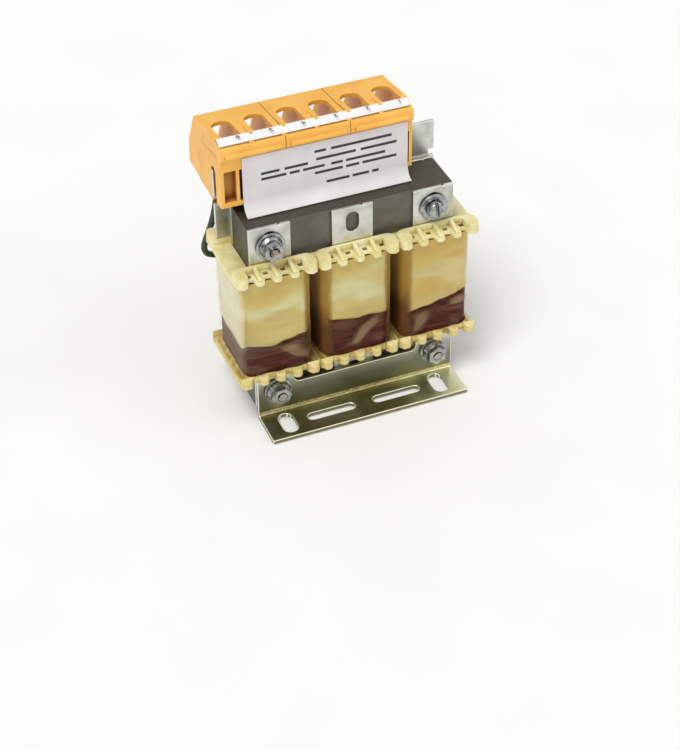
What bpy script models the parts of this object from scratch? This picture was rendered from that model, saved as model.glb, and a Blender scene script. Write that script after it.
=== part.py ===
"""Three-phase line reactor: laminated core, three coils, two mounting feet and a row of terminal blocks.

The core's own axes carry the model: X runs along the three limbs, Y goes through the lamination
stack from the front (negative) to the back, and Z is height above the surface the feet stand on.
The root empty moves the finished core along Y so that the whole part is centred on the origin.
"""

import math

import bmesh
import bpy
import mathutils

MM = 0.001

# Fits
SEAT = 0.2 * MM            # left between two faces that rest on each other
SLIDE = 0.2 * MM           # left on each side of a piece inside a sleeve or slot
BOLT_CLEARANCE = 0.45 * MM  # hole over bolt diameter

# Core
LIMB_WIDTH = 13.0 * MM
WINDOW_WIDTH = 13.0 * MM
WINDOW_HEIGHT = 39.0 * MM
YOKE_HEIGHT = 13.0 * MM
STACK_DEPTH = 13.5 * MM
GAP_CARD_THICKNESS = 0.3 * MM
CORE_LIFT = 3.8 * MM       # underside of the core above the ground
CORNER_ROUND = 0.4 * MM

# Clamping straps along the limbs
STRAP_SHEET = 1.0 * MM
STRAP_SLOT_WIDTH = 4.2 * MM
STRAP_SLOT_LENGTH = 7.0 * MM
STRAP_SLOT_OFFSET = 1.4 * MM   # slot centre beyond the bolt, away from the coils
REAR_STRAP_RISE = 0.5 * MM     # rear straps stand this much above the core
STRAP_NICK = 0.35 * MM         # shear mark in the upper edge

# Feet
FOOT_SHEET = 1.5 * MM
FOOT_BEND = 1.0 * MM           # inside radius of the fold
FOOT_REACH = 22.5 * MM         # toe of each foot from the core's middle plane
EAR_TOP = 16.2 * MM
EAR_WIDTH = 12.3 * MM
LEG_TOP = 11.5 * MM            # upper edge of the leg between the ears
EAR_FILLET = 1.6 * MM
SHORT_SLOT_WIDTH = 4.8 * MM
SHORT_SLOT_LENGTH = 9.2 * MM
SHORT_SLOT_X = 25.2 * MM
LONG_SLOT_WIDTH = 3.2 * MM
LONG_SLOT_LENGTH = 15.8 * MM
LONG_SLOT_X = 10.9 * MM
TOE_TO_SLOTS = 6.5 * MM        # slot centres behind the toe edge

# Bobbins
TUBE_WALL = 0.9 * MM
FLANGE_THICKNESS = 1.3 * MM
FLANGE_GAP = 0.4 * MM          # between neighbouring bobbins
FLANGE_ROUND = 1.5 * MM
BOBBIN_HEADROOM = 0.1 * MM     # limb top above the upper flange
COMB_HEIGHT = 1.9 * MM         # ribs above the upper flange
COMB_REACH = 15.0 * MM         # rib tips from the core's middle plane
COMB_RIBS = 5
RIB_WIDTH = 3.0 * MM
EAR_RIB_WIDTH = 4.0 * MM
RIB_STEP = 0.1 * MM            # ribs stand this much inside the flange's fingers
FIN_WIDTH = 1.1 * MM
FIN_TIP_HEIGHT = 0.35 * MM
VALLEY_DIP = 0.3 * MM          # rounding at the root of the ribs
COMB_ROUND = 2.6 * MM          # round-off at the ends of the comb's wall
COMB_FILLET = 1.6 * MM         # from the wall into each ear
LOWER_RIB_EXTRA = 0.5 * MM       # lower fingers are this much wider
LOWER_RIB_HEIGHT = 1.6 * MM
LOWER_EAR_HEIGHT = 2.1 * MM
LOWER_TIP_HEIGHT = 0.8 * MM
WIRE_HOLE = 1.5 * MM

# Windings and their covers
WINDING_BUILD = 2.8 * MM
WINDING_END_GAP = 0.3 * MM
WINDING_ROUND = 2.6 * MM
COVER_GAP = 0.15 * MM
TAPE_THICKNESS = 0.3 * MM
TAPE_LENGTH = 24.2 * MM        # from the upper flange down
FILM_THICKNESS = 0.15 * MM
FILM_FOOT_GAP = 0.6 * MM

# Bolts
BOLT_DIAMETER = 3.0 * MM
HEAD_DIAMETER = 5.6 * MM
HEAD_HEIGHT = 2.2 * MM
HEAD_SLOT_WIDTH = 1.0 * MM
HEAD_SLOT_DEPTH = 1.1 * MM
NUT_ACROSS_FLATS = 5.5 * MM
NUT_HEIGHT = 3.1 * MM          # with its captive washer
NUT_COLLAR_DIAMETER = 7.4 * MM
NUT_COLLAR_HEIGHT = 0.9 * MM
NUT_BORE_CLEARANCE = 0.3 * MM
WASHER_DIAMETER = 9.0 * MM
WASHER_THICKNESS = 0.8 * MM
UPPER_STUD_END = 2.3 * MM      # thread past the nut
LOWER_STUD_END = 0.2 * MM

# Terminal carrier plate
CARRIER_SHEET = 1.2 * MM
CARRIER_WIDTH = 70.2 * MM
CARRIER_SHIFT = -1.9 * MM
CARRIER_DROP = 11.3 * MM       # lower edge below the top of the core
CARRIER_RISE = 12.5 * MM       # upper edge above the top of the core
CARRIER_NOTCH_DEPTH = 1.7 * MM
CARRIER_NOTCH_HEIGHT = 2.3 * MM
CARRIER_NOTCH_RISE = 0.5 * MM

# Terminal blocks
BLOCK_COUNT = 3
BLOCK_PITCH = 20.0 * MM
BLOCK_GAP = 0.2 * MM
BLOCK_ROW_SHIFT = -7.0 * MM
BLOCK_LIFT = 1.5 * MM          # underside above the top of the core
BLOCK_FRONT = 1.2 * MM         # front face from the core's middle plane
BLOCK_DEPTH = 29.3 * MM
BLOCK_FRONT_HEIGHT = 23.4 * MM
BLOCK_REAR_HEIGHT = 20.7 * MM
BLOCK_TAIL_HEIGHT = 8.3 * MM   # upright part of the rear face
BLOCK_STEP_REACH = 20.0 * MM   # small step in the underside behind the front face
BLOCK_TAIL_STEP = 6.5 * MM     # rear face leans forward by this at the top
PLATE_SLOT_ROOM = 2.2 * MM     # slot in front of the plate
PLATE_SLOT_TOP_GAP = 1.6 * MM
POLE_PITCH = 10.0 * MM
CHAMBER_WIDTH = 8.9 * MM
ROOF = 1.3 * MM
ENTRY_WIDTH = 6.0 * MM
ENTRY_BACK = 14.8 * MM         # rounded end of the entry behind the front face
CHAMBER_FRONT = 10.0 * MM      # chamber starts behind the front face
CHAMBER_FLOOR = 8.2 * MM       # above the block's underside
CHAMBER_TAIL_FLOOR = 2.0 * MM  # the floor falls to this behind the clamp
LIP_OVERHANG = 1.1 * MM
LIP_HEIGHT = 3.9 * MM
BAR_RADIUS = 0.95 * MM
BAR_END_GAP = 1.45 * MM
BAR_DROP = 2.75 * MM           # bar's axis below the front top edge
POCKET_WIDTH = 3.7 * MM
POCKET_WALL = 1.0 * MM
POCKET_DEPTH = 2.9 * MM
POCKET_TOP = 13.9 * MM         # above the block's underside
POCKET_FLOOR = 3.4 * MM        # above the block's underside
STRIP_SEAT_WIDTH = 3.2 * MM
STRIP_SEAT_FALL = 1.35 * MM
STRIP_THICKNESS = 0.5 * MM
STRIP_SUNK = 0.15 * MM
STRIP_END_GAP = 0.4 * MM

# Terminal clamps
CLAMP_WIDTH = 6.4 * MM
CLAMP_DEPTH = 5.6 * MM
CLAMP_HEIGHT = 3.2 * MM
CLAMP_WIRE_HOLE = 1.8 * MM
CLAMP_HOLE_DROP = 0.1 * MM
CLAMP_SCREW_DIAMETER = 4.0 * MM
CLAMP_SCREW_RISE = 1.2 * MM

# Front label
LABEL_THICKNESS = 0.16 * MM
LABEL_LEFT = 6.6 * MM          # from the row's left end
LABEL_RIGHT = 1.6 * MM         # from the row's right end
LABEL_TOP_GAP = 0.3 * MM
LABEL_FACE_GAP = 0.12 * MM
LABEL_SKIRT_REACH = 3.4 * MM   # lower edge in front of the blocks
LABEL_BEND_START = 4.6 * MM    # above the core's top

# Winding leads
LEAD_DIAMETER = 1.9 * MM
LEAD_HOLE_CLEARANCE = 0.9 * MM
LEAD_INSERTION = 3.0 * MM
LEAD_PLANE = 20.0 * MM         # leads hang this far behind the core's middle plane
LEAD_ENTRY_HEIGHT = 44.0 * MM
LEAD_SPREAD = 3.8 * MM         # each side of a coil's middle
LEAD_BOW = 1.6 * MM            # sideways bow before the lead turns in
LEAD_BEND = 5.0 * MM           # height of the turn above the entry
LEAD_DROP = 8.0 * MM           # straight fall below the block
OUTER_LEAD_INSET = 1.3 * MM    # outermost lead from the bobbin's edge

# Places that follow from the sizes above
LIMB_PITCH = LIMB_WIDTH + WINDOW_WIDTH
LIMB_XS = (-LIMB_PITCH, 0.0, LIMB_PITCH)
CORE_WIDTH = 2.0 * LIMB_PITCH + LIMB_WIDTH
WINDOW_BOTTOM = CORE_LIFT + YOKE_HEIGHT
LIMB_TOP = WINDOW_BOTTOM + WINDOW_HEIGHT
I_YOKE_BOTTOM = LIMB_TOP + 2.0 * SEAT + GAP_CARD_THICKNESS
CORE_TOP = I_YOKE_BOTTOM + YOKE_HEIGHT
LOWER_BOLT_Z = CORE_LIFT + YOKE_HEIGHT / 2.0
UPPER_BOLT_Z = I_YOKE_BOTTOM + YOKE_HEIGHT / 2.0
BOLT_HOLE = BOLT_DIAMETER + BOLT_CLEARANCE

STRAP_INNER = STACK_DEPTH / 2.0 + SEAT
STRAP_OUTER = STRAP_INNER + STRAP_SHEET
LEG_INNER = STRAP_OUTER + SEAT
LEG_OUTER = LEG_INNER + FOOT_SHEET
CARRIER_INNER = STRAP_OUTER + SEAT
CARRIER_OUTER = CARRIER_INNER + CARRIER_SHEET

TUBE_X = LIMB_WIDTH / 2.0 + SLIDE
TUBE_Y = STRAP_OUTER + SLIDE
TUBE_OUT_X = TUBE_X + TUBE_WALL
TUBE_OUT_Y = TUBE_Y + TUBE_WALL
BOBBIN_BOTTOM = WINDOW_BOTTOM + SEAT
BOBBIN_TOP = LIMB_TOP - BOBBIN_HEADROOM
FLANGE_X = (LIMB_PITCH - FLANGE_GAP) / 2.0
WINDING_X = TUBE_OUT_X + SLIDE + WINDING_BUILD
WINDING_Y = TUBE_OUT_Y + SLIDE + WINDING_BUILD
WINDING_BOTTOM = BOBBIN_BOTTOM + FLANGE_THICKNESS + WINDING_END_GAP
WINDING_TOP = BOBBIN_TOP - FLANGE_THICKNESS - WINDING_END_GAP
TAPE_GROWTH = COVER_GAP + TAPE_THICKNESS
FILM_GROWTH = TAPE_GROWTH + COVER_GAP + FILM_THICKNESS
FLANGE_Y = WINDING_Y + COVER_GAP
LOWER_RIB_BACK = WINDING_Y + FILM_GROWTH + COVER_GAP

BLOCK_BASE = CORE_TOP + BLOCK_LIFT
BLOCK_LEFT = BLOCK_ROW_SHIFT - BLOCK_COUNT * BLOCK_PITCH / 2.0
BLOCK_BACK = BLOCK_FRONT + BLOCK_DEPTH
CORE_Y = -(BLOCK_BACK - FOOT_REACH) / 2.0

QUARTER = math.pi / 2.0
FRONT_TURN = (QUARTER, 0.0, 0.0)
SIDE_TURN = (QUARTER, 0.0, QUARTER)
ARC_STEPS = 4
HOLE_STEPS = 16

PARTS = "line_reactor"
CUTTERS = "cutters"


def clear_scene():
    """Removes every object, mesh and collection that the open file holds."""
    for item in list(bpy.data.objects):
        bpy.data.objects.remove(item, do_unlink=True)
    for group in list(bpy.data.collections):
        bpy.data.collections.remove(group)


def new_collection(name):
    group = bpy.data.collections.new(name)
    bpy.context.scene.collection.children.link(group)
    return group


def finish(name, colour, roughness, metallic=0.0):
    """A Principled material in the piece's own colour."""
    material = bpy.data.materials.new(name)
    material.use_nodes = True
    shader = material.node_tree.nodes["Principled BSDF"]
    shader.inputs["Base Color"].default_value = (*colour, 1.0)
    shader.inputs["Roughness"].default_value = roughness
    shader.inputs["Metallic"].default_value = metallic
    material.diffuse_color = (*colour, 1.0)
    return material


def arc(cx, cy, radius, start, end, steps=ARC_STEPS):
    """Points on an arc, angles in quarter turns."""
    return [
        (cx + radius * math.cos(QUARTER * (start + (end - start) * i / steps)),
         cy + radius * math.sin(QUARTER * (start + (end - start) * i / steps)))
        for i in range(steps + 1)
    ]


def rounded_rectangle(cx, cy, half_x, half_y, radius):
    right, left = cx + half_x - radius, cx - half_x + radius
    top, bottom = cy + half_y - radius, cy - half_y + radius
    return (arc(right, top, radius, 0, 1) + arc(left, top, radius, 1, 2)
            + arc(left, bottom, radius, 2, 3) + arc(right, bottom, radius, 3, 4))


def rectangle(cx, cy, half_x, half_y):
    return [(cx + half_x, cy + half_y), (cx - half_x, cy + half_y),
            (cx - half_x, cy - half_y), (cx + half_x, cy - half_y)]


def circle(cx, cy, radius, steps=HOLE_STEPS):
    return [(cx + radius * math.cos(2.0 * math.pi * i / steps),
             cy + radius * math.sin(2.0 * math.pi * i / steps)) for i in range(steps)]


def upright_slot(cx, cy, width, length):
    radius = width / 2.0
    reach = length / 2.0 - radius
    return arc(cx, cy + reach, radius, 0, 2, 6) + arc(cx, cy - reach, radius, 2, 4, 6)


def level_slot(cx, cy, width, length):
    return [(cx + (y - cy), cy - (x - cx)) for x, y in upright_slot(cx, cy, width, length)]


def place(name, mesh, location=(0.0, 0.0, 0.0), rotation=(0.0, 0.0, 0.0), group=PARTS):
    item = bpy.data.objects.new(name, mesh)
    item.location = location
    item.rotation_euler = rotation
    bpy.data.collections[group].objects.link(item)
    if group == CUTTERS:
        item.hide_render = True
        item.display_type = "WIRE"
    return item


def plate_mesh(name, loops, thickness):
    """A flat outline, with the inner loops as holes, as a closed plate centred on its plane."""
    curve = bpy.data.curves.new(name, "CURVE")
    curve.dimensions = "2D"
    curve.fill_mode = "BOTH"
    curve.extrude = thickness / 2.0
    for loop in loops:
        spline = curve.splines.new("POLY")
        spline.points.add(len(loop) - 1)
        for point, (x, y) in zip(spline.points, loop):
            point.co = (x, y, 0.0, 1.0)
        spline.use_cyclic_u = True
    sketch = bpy.data.objects.new(name + "_sketch", curve)
    bpy.context.scene.collection.objects.link(sketch)
    bpy.context.view_layer.update()
    evaluated = sketch.evaluated_get(bpy.context.evaluated_depsgraph_get())
    mesh = bpy.data.meshes.new_from_object(evaluated)
    mesh.name = name
    bpy.data.objects.remove(sketch, do_unlink=True)
    bpy.data.curves.remove(curve)
    shape = bmesh.new()
    shape.from_mesh(mesh)
    bmesh.ops.remove_doubles(shape, verts=shape.verts, dist=0.001 * MM)
    bmesh.ops.dissolve_degenerate(shape, dist=0.001 * MM, edges=shape.edges)
    bmesh.ops.dissolve_limit(shape, angle_limit=math.radians(0.05), verts=shape.verts, edges=shape.edges)
    bmesh.ops.recalc_face_normals(shape, faces=shape.faces)
    shape.to_mesh(mesh)
    shape.free()
    return mesh


def plan_plate(name, loops, bottom, top, group=PARTS, location=(0.0, 0.0, 0.0)):
    """A plate seen from above, between two heights."""
    x, y, z = location
    mesh = plate_mesh(name, loops, top - bottom)
    return place(name, mesh, (x, y, z + (bottom + top) / 2.0), group=group)


def front_plate(name, loops, front, back, group=PARTS):
    """A plate seen from the front, between two depths."""
    mesh = plate_mesh(name, loops, back - front)
    return place(name, mesh, (0.0, (front + back) / 2.0, 0.0), FRONT_TURN, group)


def side_plate(name, loops, left, right, group=PARTS):
    """A profile seen from the right side, swept between two places along X."""
    mesh = plate_mesh(name, loops, right - left)
    return place(name, mesh, ((left + right) / 2.0, 0.0, 0.0), SIDE_TURN, group)


def box_cutter(name, low, high):
    return box_cutters(name, [(low, high)])


def box_cutters(name, corners):
    """One cutter made of separate boxes, each given by its low and high corner."""
    low, high = corners[0]
    home = [(a + b) / 2.0 for a, b in zip(low, high)]
    shape = bmesh.new()
    for low, high in corners:
        shift = [(a + b) / 2.0 - c for a, b, c in zip(low, high, home)]
        size = [b - a for a, b in zip(low, high)]
        matrix = mathutils.Matrix.Translation(shift) @ mathutils.Matrix.Diagonal((*size, 1.0))
        bmesh.ops.create_cube(shape, size=1.0, matrix=matrix)
    mesh = bpy.data.meshes.new(name)
    shape.to_mesh(mesh)
    shape.free()
    return place(name, mesh, home, group=CUTTERS)


def cone(name, low_radius, top_radius, length, location, rotation, steps, group=CUTTERS):
    """A round bar along its own Z axis, straight or tapered."""
    shape = bmesh.new()
    bmesh.ops.create_cone(shape, cap_ends=True, segments=steps, radius1=low_radius, radius2=top_radius, depth=length)
    mesh = bpy.data.meshes.new(name)
    shape.to_mesh(mesh)
    shape.free()
    return place(name, mesh, location, rotation, group)


def rod(name, radius, length, location, rotation=(0.0, 0.0, 0.0), steps=HOLE_STEPS):
    return cone(name, radius, radius, length, location, rotation, steps)


def combine(item, tool, operation="DIFFERENCE"):
    """Cuts one object with another, or joins them."""
    modifier = item.modifiers.new(tool.name, "BOOLEAN")
    modifier.operation = operation
    modifier.solver = "EXACT"
    modifier.object = tool
    return item


def turned(name, profile, location, rotation, steps=HOLE_STEPS):
    """A profile of (radius, height) points turned about its own Z axis."""
    shape = bmesh.new()
    points = [shape.verts.new((radius, 0.0, height)) for radius, height in profile]
    for first, second in zip(points, points[1:]):
        shape.edges.new((first, second))
    mesh = bpy.data.meshes.new(name)
    shape.to_mesh(mesh)
    shape.free()
    item = place(name, mesh, location, rotation)
    screw = item.modifiers.new("turn", "SCREW")
    screw.angle = 2.0 * math.pi
    screw.steps = steps
    screw.render_steps = steps
    screw.use_merge_vertices = True
    screw.merge_threshold = 0.001 * MM
    return item


def smooth(item):
    item.data.shade_smooth()
    item.data.set_sharp_from_angle(angle=math.radians(35.0))


def dress(item, material):
    item.data.materials.clear()
    item.data.materials.append(material)
    return item


# Core

def e_outline():
    """Three limbs standing on the lower yoke."""
    half = CORE_WIDTH / 2.0
    points = [(-half, CORE_LIFT), (half, CORE_LIFT)]
    for x in reversed(LIMB_XS):
        right, left = x + LIMB_WIDTH / 2.0, x - LIMB_WIDTH / 2.0
        foot = [(right, WINDOW_BOTTOM)] if right < half else []
        heel = [(left, WINDOW_BOTTOM)] if left > -half else []
        points += foot + [(right, LIMB_TOP), (left, LIMB_TOP)] + heel
    return points


def make_core(steel, card):
    depth = STACK_DEPTH / 2.0
    outer_xs = (LIMB_XS[0], LIMB_XS[-1])
    lower_holes = [circle(x, LOWER_BOLT_Z, BOLT_HOLE / 2.0) for x in outer_xs]
    dress(front_plate("core_e_stack", [e_outline()] + lower_holes, -depth, depth), steel)
    yoke = rectangle(0.0, UPPER_BOLT_Z, CORE_WIDTH / 2.0, YOKE_HEIGHT / 2.0)
    upper_holes = [circle(x, UPPER_BOLT_Z, BOLT_HOLE / 2.0) for x in outer_xs]
    dress(front_plate("core_i_yoke", [yoke] + upper_holes, -depth, depth), steel)
    for index, x in enumerate(LIMB_XS, 1):
        outline = rectangle(x, 0.0, LIMB_WIDTH / 2.0, depth)
        bottom = LIMB_TOP + SEAT
        item = plan_plate(f"gap_card_{index}", [outline], bottom, bottom + GAP_CARD_THICKNESS)
        dress(item, card)


def strap_outline(x, bottom, top):
    """A flat bar as wide as a limb, with a shear nick in its upper edge."""
    half = LIMB_WIDTH / 2.0
    nick = x + half / 2.0
    return [(x - half, bottom), (x + half, bottom), (x + half, top), (nick + STRAP_NICK, top),
            (nick, top - STRAP_NICK), (nick - 2.0 * STRAP_NICK, top), (x - half, top)]


def make_straps(zinc):
    for index, x in enumerate(LIMB_XS, 1):
        for side, name, rise in ((-1.0, "front", 0.0), (1.0, "rear", REAR_STRAP_RISE)):
            outline = strap_outline(x, CORE_LIFT, CORE_TOP + rise)
            slots = [
                upright_slot(x, LOWER_BOLT_Z - STRAP_SLOT_OFFSET, STRAP_SLOT_WIDTH, STRAP_SLOT_LENGTH),
                upright_slot(x, UPPER_BOLT_Z + STRAP_SLOT_OFFSET, STRAP_SLOT_WIDTH, STRAP_SLOT_LENGTH),
            ]
            near, far = sorted((side * STRAP_INNER, side * STRAP_OUTER))
            dress(front_plate(f"clamp_strap_{name}_{index}", [outline] + slots, near, far), zinc)


# Feet

def foot_profile():
    """An L with its upright against the straps and its toe towards the front, drawn for the front foot."""
    inside = FOOT_BEND
    outside = FOOT_BEND + FOOT_SHEET
    bend_y = -LEG_OUTER - FOOT_BEND
    bend_z = FOOT_SHEET + FOOT_BEND
    return ([(-LEG_OUTER, EAR_TOP)]
            + [(-LEG_INNER, EAR_TOP)]
            + list(reversed(arc(bend_y, bend_z, outside, 3, 4)))
            + [(-FOOT_REACH, 0.0), (-FOOT_REACH, FOOT_SHEET)]
            + arc(bend_y, bend_z, inside, 3, 4))[::-1]


def ear_gap_outline():
    """The opening between the two ears of a leg, with rounded lower corners."""
    half = CORE_WIDTH / 2.0 - EAR_WIDTH
    above = EAR_TOP + FOOT_SHEET
    return ([(half, above), (-half, above)]
            + arc(-half + EAR_FILLET, LEG_TOP + EAR_FILLET, EAR_FILLET, 2, 3)
            + arc(half - EAR_FILLET, LEG_TOP + EAR_FILLET, EAR_FILLET, 3, 4))


def make_foot(name, side, plated):
    """One foot, on the front (side -1) or mirrored to the rear (side 1)."""
    half = CORE_WIDTH / 2.0
    profile = [(-side * y, z) for y, z in foot_profile()]
    foot = side_plate(name, [profile], -half, half)
    slot_y = side * (FOOT_REACH - TOE_TO_SLOTS)
    loops = []
    for x in (-1.0, 1.0):
        loops.append(upright_slot(x * SHORT_SLOT_X, slot_y, SHORT_SLOT_WIDTH, SHORT_SLOT_LENGTH))
        loops.append(level_slot(x * LONG_SLOT_X, slot_y, LONG_SLOT_WIDTH, LONG_SLOT_LENGTH))
    for index, loop in enumerate(loops, 1):
        tool = plan_plate(f"{name}_slot_cut_{index}", [loop], -FOOT_SHEET, 2.0 * FOOT_SHEET, CUTTERS)
        combine(foot, tool)
    near, far = sorted((side * (LEG_INNER - FOOT_SHEET), side * (LEG_OUTER + FOOT_SHEET)))
    combine(foot, front_plate(f"{name}_ear_cut", [ear_gap_outline()], near, far, CUTTERS))
    for index, x in enumerate((LIMB_XS[0], LIMB_XS[-1]), 1):
        loop = circle(x, LOWER_BOLT_Z, BOLT_HOLE / 2.0)
        combine(foot, front_plate(f"{name}_bolt_cut_{index}", [loop], near, far, CUTTERS))
    dress(foot, plated)


# Bobbins

def rib_places(extra=0.0):
    """Middle and width of each comb rib; the outer two are wider, and the others may have some extra."""
    reach = FLANGE_X - EAR_RIB_WIDTH / 2.0
    step = 2.0 * reach / (COMB_RIBS - 1)
    for index in range(COMB_RIBS):
        outer = index in (0, COMB_RIBS - 1)
        yield -reach + index * step, EAR_RIB_WIDTH if outer else RIB_WIDTH + extra, outer


def rib_tips(root, inset, extra):
    """Outline points along the front, left to right: ribs with round tips, and the valleys between."""
    points = []
    for middle, width, _ in rib_places(extra):
        radius = width / 2.0 - inset
        centre = -COMB_REACH + inset + radius
        if points:
            gap = middle - radius - points[-1][0]
            points += [(points[-1][0] + gap * share, root + VALLEY_DIP) for share in (0.3, 0.7)]
        points.append((middle - radius, root))
        points += arc(middle, centre, radius, 2, 4)
        points.append((middle + radius, root))
    return points


def opposite(points):
    """The same outline turned half a turn, for the back."""
    return [(-x, -y) for x, y in points]


def flange_outline(extra=0.0):
    """The flange in plan, with the comb's fingers on the front and back edges."""
    front = rib_tips(-FLANGE_Y, 0.0, extra)
    return front + opposite(front)


def comb_outline():
    """The raised wall against the strap in plan, turning forward into a solid ear at each end."""
    wall_back = -TUBE_Y - RIB_STEP / 2.0
    wall_front = -TUBE_OUT_Y - RIB_STEP / 2.0
    half = FLANGE_X - RIB_STEP
    radius = EAR_RIB_WIDTH / 2.0 - RIB_STEP
    tip = -COMB_REACH + RIB_STEP + radius
    middle = half - radius
    inner = middle - radius
    return (arc(-middle, tip, radius, 2, 4)
            + arc(-inner + COMB_FILLET, wall_front - COMB_FILLET, COMB_FILLET, 2, 1)
            + arc(inner - COMB_FILLET, wall_front - COMB_FILLET, COMB_FILLET, 1, 0)
            + arc(middle, tip, radius, 2, 4)
            + arc(half - COMB_ROUND, wall_back - COMB_ROUND, COMB_ROUND, 0, 1)
            + arc(-half + COMB_ROUND, wall_back - COMB_ROUND, COMB_ROUND, 1, 2))


def make_fins(name, x):
    """Thin fins on the middle fingers, falling from the comb's wall to the finger tips."""
    places = [middle for middle, _, ear in rib_places() if not ear]
    low = BOBBIN_TOP - FLANGE_THICKNESS / 2.0
    wall = -TUBE_OUT_Y + TUBE_WALL / 2.0
    tip = -COMB_REACH + RIB_WIDTH / 4.0
    profile = [(wall, low), (wall, BOBBIN_TOP + COMB_HEIGHT - RIB_STEP), (-TUBE_OUT_Y - RIB_WIDTH / 4.0,
               BOBBIN_TOP + COMB_HEIGHT - RIB_STEP), (tip, BOBBIN_TOP + FIN_TIP_HEIGHT), (tip, low)]
    first = x + places[0]
    fins = side_plate(name, [profile], first - FIN_WIDTH / 2.0, first + FIN_WIDTH / 2.0, CUTTERS)
    row = fins.modifiers.new("row", "ARRAY")
    row.count = len(places)
    row.use_relative_offset = False
    row.use_constant_offset = True
    row.constant_offset_displace = (0.0, 0.0, places[1] - places[0])
    rear = fins.modifiers.new("rear", "MIRROR")
    rear.merge_threshold = 0.001 * MM
    return fins


def make_nose_cutter(name, x, lower_top):
    """A wedge that slopes the tops of the lower ribs down towards their tips, front and rear."""
    behind = -LOWER_RIB_BACK
    tip = -COMB_REACH - RIB_STEP
    above = lower_top + 2.0 * LOWER_EAR_HEIGHT
    profile = [(behind - RIB_STEP, above), (tip, above), (tip, lower_top + LOWER_TIP_HEIGHT),
               (behind - RIB_STEP, lower_top + LOWER_EAR_HEIGHT - RIB_STEP)]
    reach = FLANGE_X + FLANGE_GAP
    wedge = side_plate(name, [profile[::-1]], x - reach, x + reach, CUTTERS)
    rear = wedge.modifiers.new("rear", "MIRROR")
    rear.merge_threshold = 0.001 * MM
    return wedge


def lower_rib_outline(middle, width):
    """One upright rib on the lower flange, in front of the winding, with a round tip."""
    radius = width / 2.0 - RIB_STEP
    tip = arc(middle, -COMB_REACH + RIB_STEP + radius, radius, 2, 4)
    return [(middle + radius, -LOWER_RIB_BACK), (middle - radius, -LOWER_RIB_BACK)] + tip


def wire_holes(x, bottom, top):
    """Square holes for the winding's ends, one between each two ribs, front and back."""
    places = [middle for middle, _, _ in rib_places()]
    y = (TUBE_OUT_Y + FLANGE_Y) / 2.0
    half = WIRE_HOLE / 2.0
    holes = []
    for first, second in zip(places, places[1:]):
        for side in (-1.0, 1.0):
            middle = x + (first + second) / 2.0
            holes.append(((middle - half, side * y - half, bottom), (middle + half, side * y + half, top)))
    return holes


def make_bobbin(index, x, nylon):
    name = f"bobbin_{index}"
    place_at = (x, 0.0, 0.0)
    half_wall = TUBE_WALL / 2.0
    sleeve = [rectangle(0.0, 0.0, TUBE_OUT_X, TUBE_OUT_Y), rectangle(0.0, 0.0, TUBE_X, TUBE_Y)]
    bore = rectangle(0.0, 0.0, TUBE_X + half_wall, TUBE_Y + half_wall)
    bobbin = plan_plate(name, sleeve, BOBBIN_BOTTOM + RIB_STEP, BOBBIN_TOP - RIB_STEP, location=place_at)
    lower_top = BOBBIN_BOTTOM + FLANGE_THICKNESS
    upper_bottom = BOBBIN_TOP - FLANGE_THICKNESS
    tools = [
        plan_plate(f"{name}_lower_flange", [flange_outline(LOWER_RIB_EXTRA), bore], BOBBIN_BOTTOM, lower_top,
                   CUTTERS, place_at),
        plan_plate(f"{name}_upper_flange", [flange_outline(), bore], upper_bottom, BOBBIN_TOP, CUTTERS, place_at),
    ]
    sink = FLANGE_THICKNESS / 2.0
    combs = [comb_outline(), opposite(comb_outline())]
    tools.append(plan_plate(f"{name}_combs", combs, BOBBIN_TOP - sink, BOBBIN_TOP + COMB_HEIGHT, CUTTERS, place_at))
    for label, is_ear, height in (("ribs", False, LOWER_RIB_HEIGHT), ("ears", True, LOWER_EAR_HEIGHT)):
        front = [lower_rib_outline(middle, width) for middle, width, ear in rib_places(LOWER_RIB_EXTRA)
                 if ear is is_ear]
        loops = front + [opposite(loop) for loop in front]
        tools.append(plan_plate(f"{name}_lower_{label}", loops, lower_top - sink, lower_top + height,
                                CUTTERS, place_at))
    tools.append(make_fins(f"{name}_fins", x))
    for tool in tools:
        combine(bobbin, tool, "UNION")
    combine(bobbin, make_nose_cutter(f"{name}_noses", x, lower_top))
    holes = wire_holes(x, upper_bottom - FLANGE_THICKNESS, BOBBIN_TOP + FLANGE_THICKNESS)
    combine(bobbin, box_cutters(f"{name}_wire_holes", holes))
    dress(bobbin, nylon)


# Windings and covers

def sleeve_item(name, x, inner, outer, radius, bottom, top):
    """A rounded rectangular sleeve between two heights; inner and outer are half sizes."""
    wall = outer[0] - inner[0]
    loops = [rounded_rectangle(0.0, 0.0, outer[0], outer[1], radius),
             rounded_rectangle(0.0, 0.0, inner[0], inner[1], max(radius - wall, CORNER_ROUND))]
    item = plan_plate(name, loops, bottom, top, location=(x, 0.0, 0.0))
    smooth(item)
    return item


def make_windings(copper, tape, film):
    bore = (TUBE_OUT_X + SLIDE, TUBE_OUT_Y + SLIDE)
    for index, x in enumerate(LIMB_XS, 1):
        body = (WINDING_X, WINDING_Y)
        dress(sleeve_item(f"winding_{index}", x, bore, body, WINDING_ROUND, WINDING_BOTTOM, WINDING_TOP), copper)
        inner = tuple(size + COVER_GAP for size in body)
        outer = tuple(size + TAPE_GROWTH for size in body)
        bottom = WINDING_TOP - TAPE_LENGTH
        radius = WINDING_ROUND + TAPE_GROWTH
        dress(sleeve_item(f"tape_wrap_{index}", x, inner, outer, radius, bottom, WINDING_TOP), tape)
        inner = tuple(size + FILM_GROWTH - FILM_THICKNESS for size in body)
        outer = tuple(size + FILM_GROWTH for size in body)
        radius = WINDING_ROUND + FILM_GROWTH
        bottom = WINDING_BOTTOM + FILM_FOOT_GAP
        dress(sleeve_item(f"clear_film_{index}", x, inner, outer, radius, bottom, WINDING_TOP), film)


# Bolts

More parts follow.
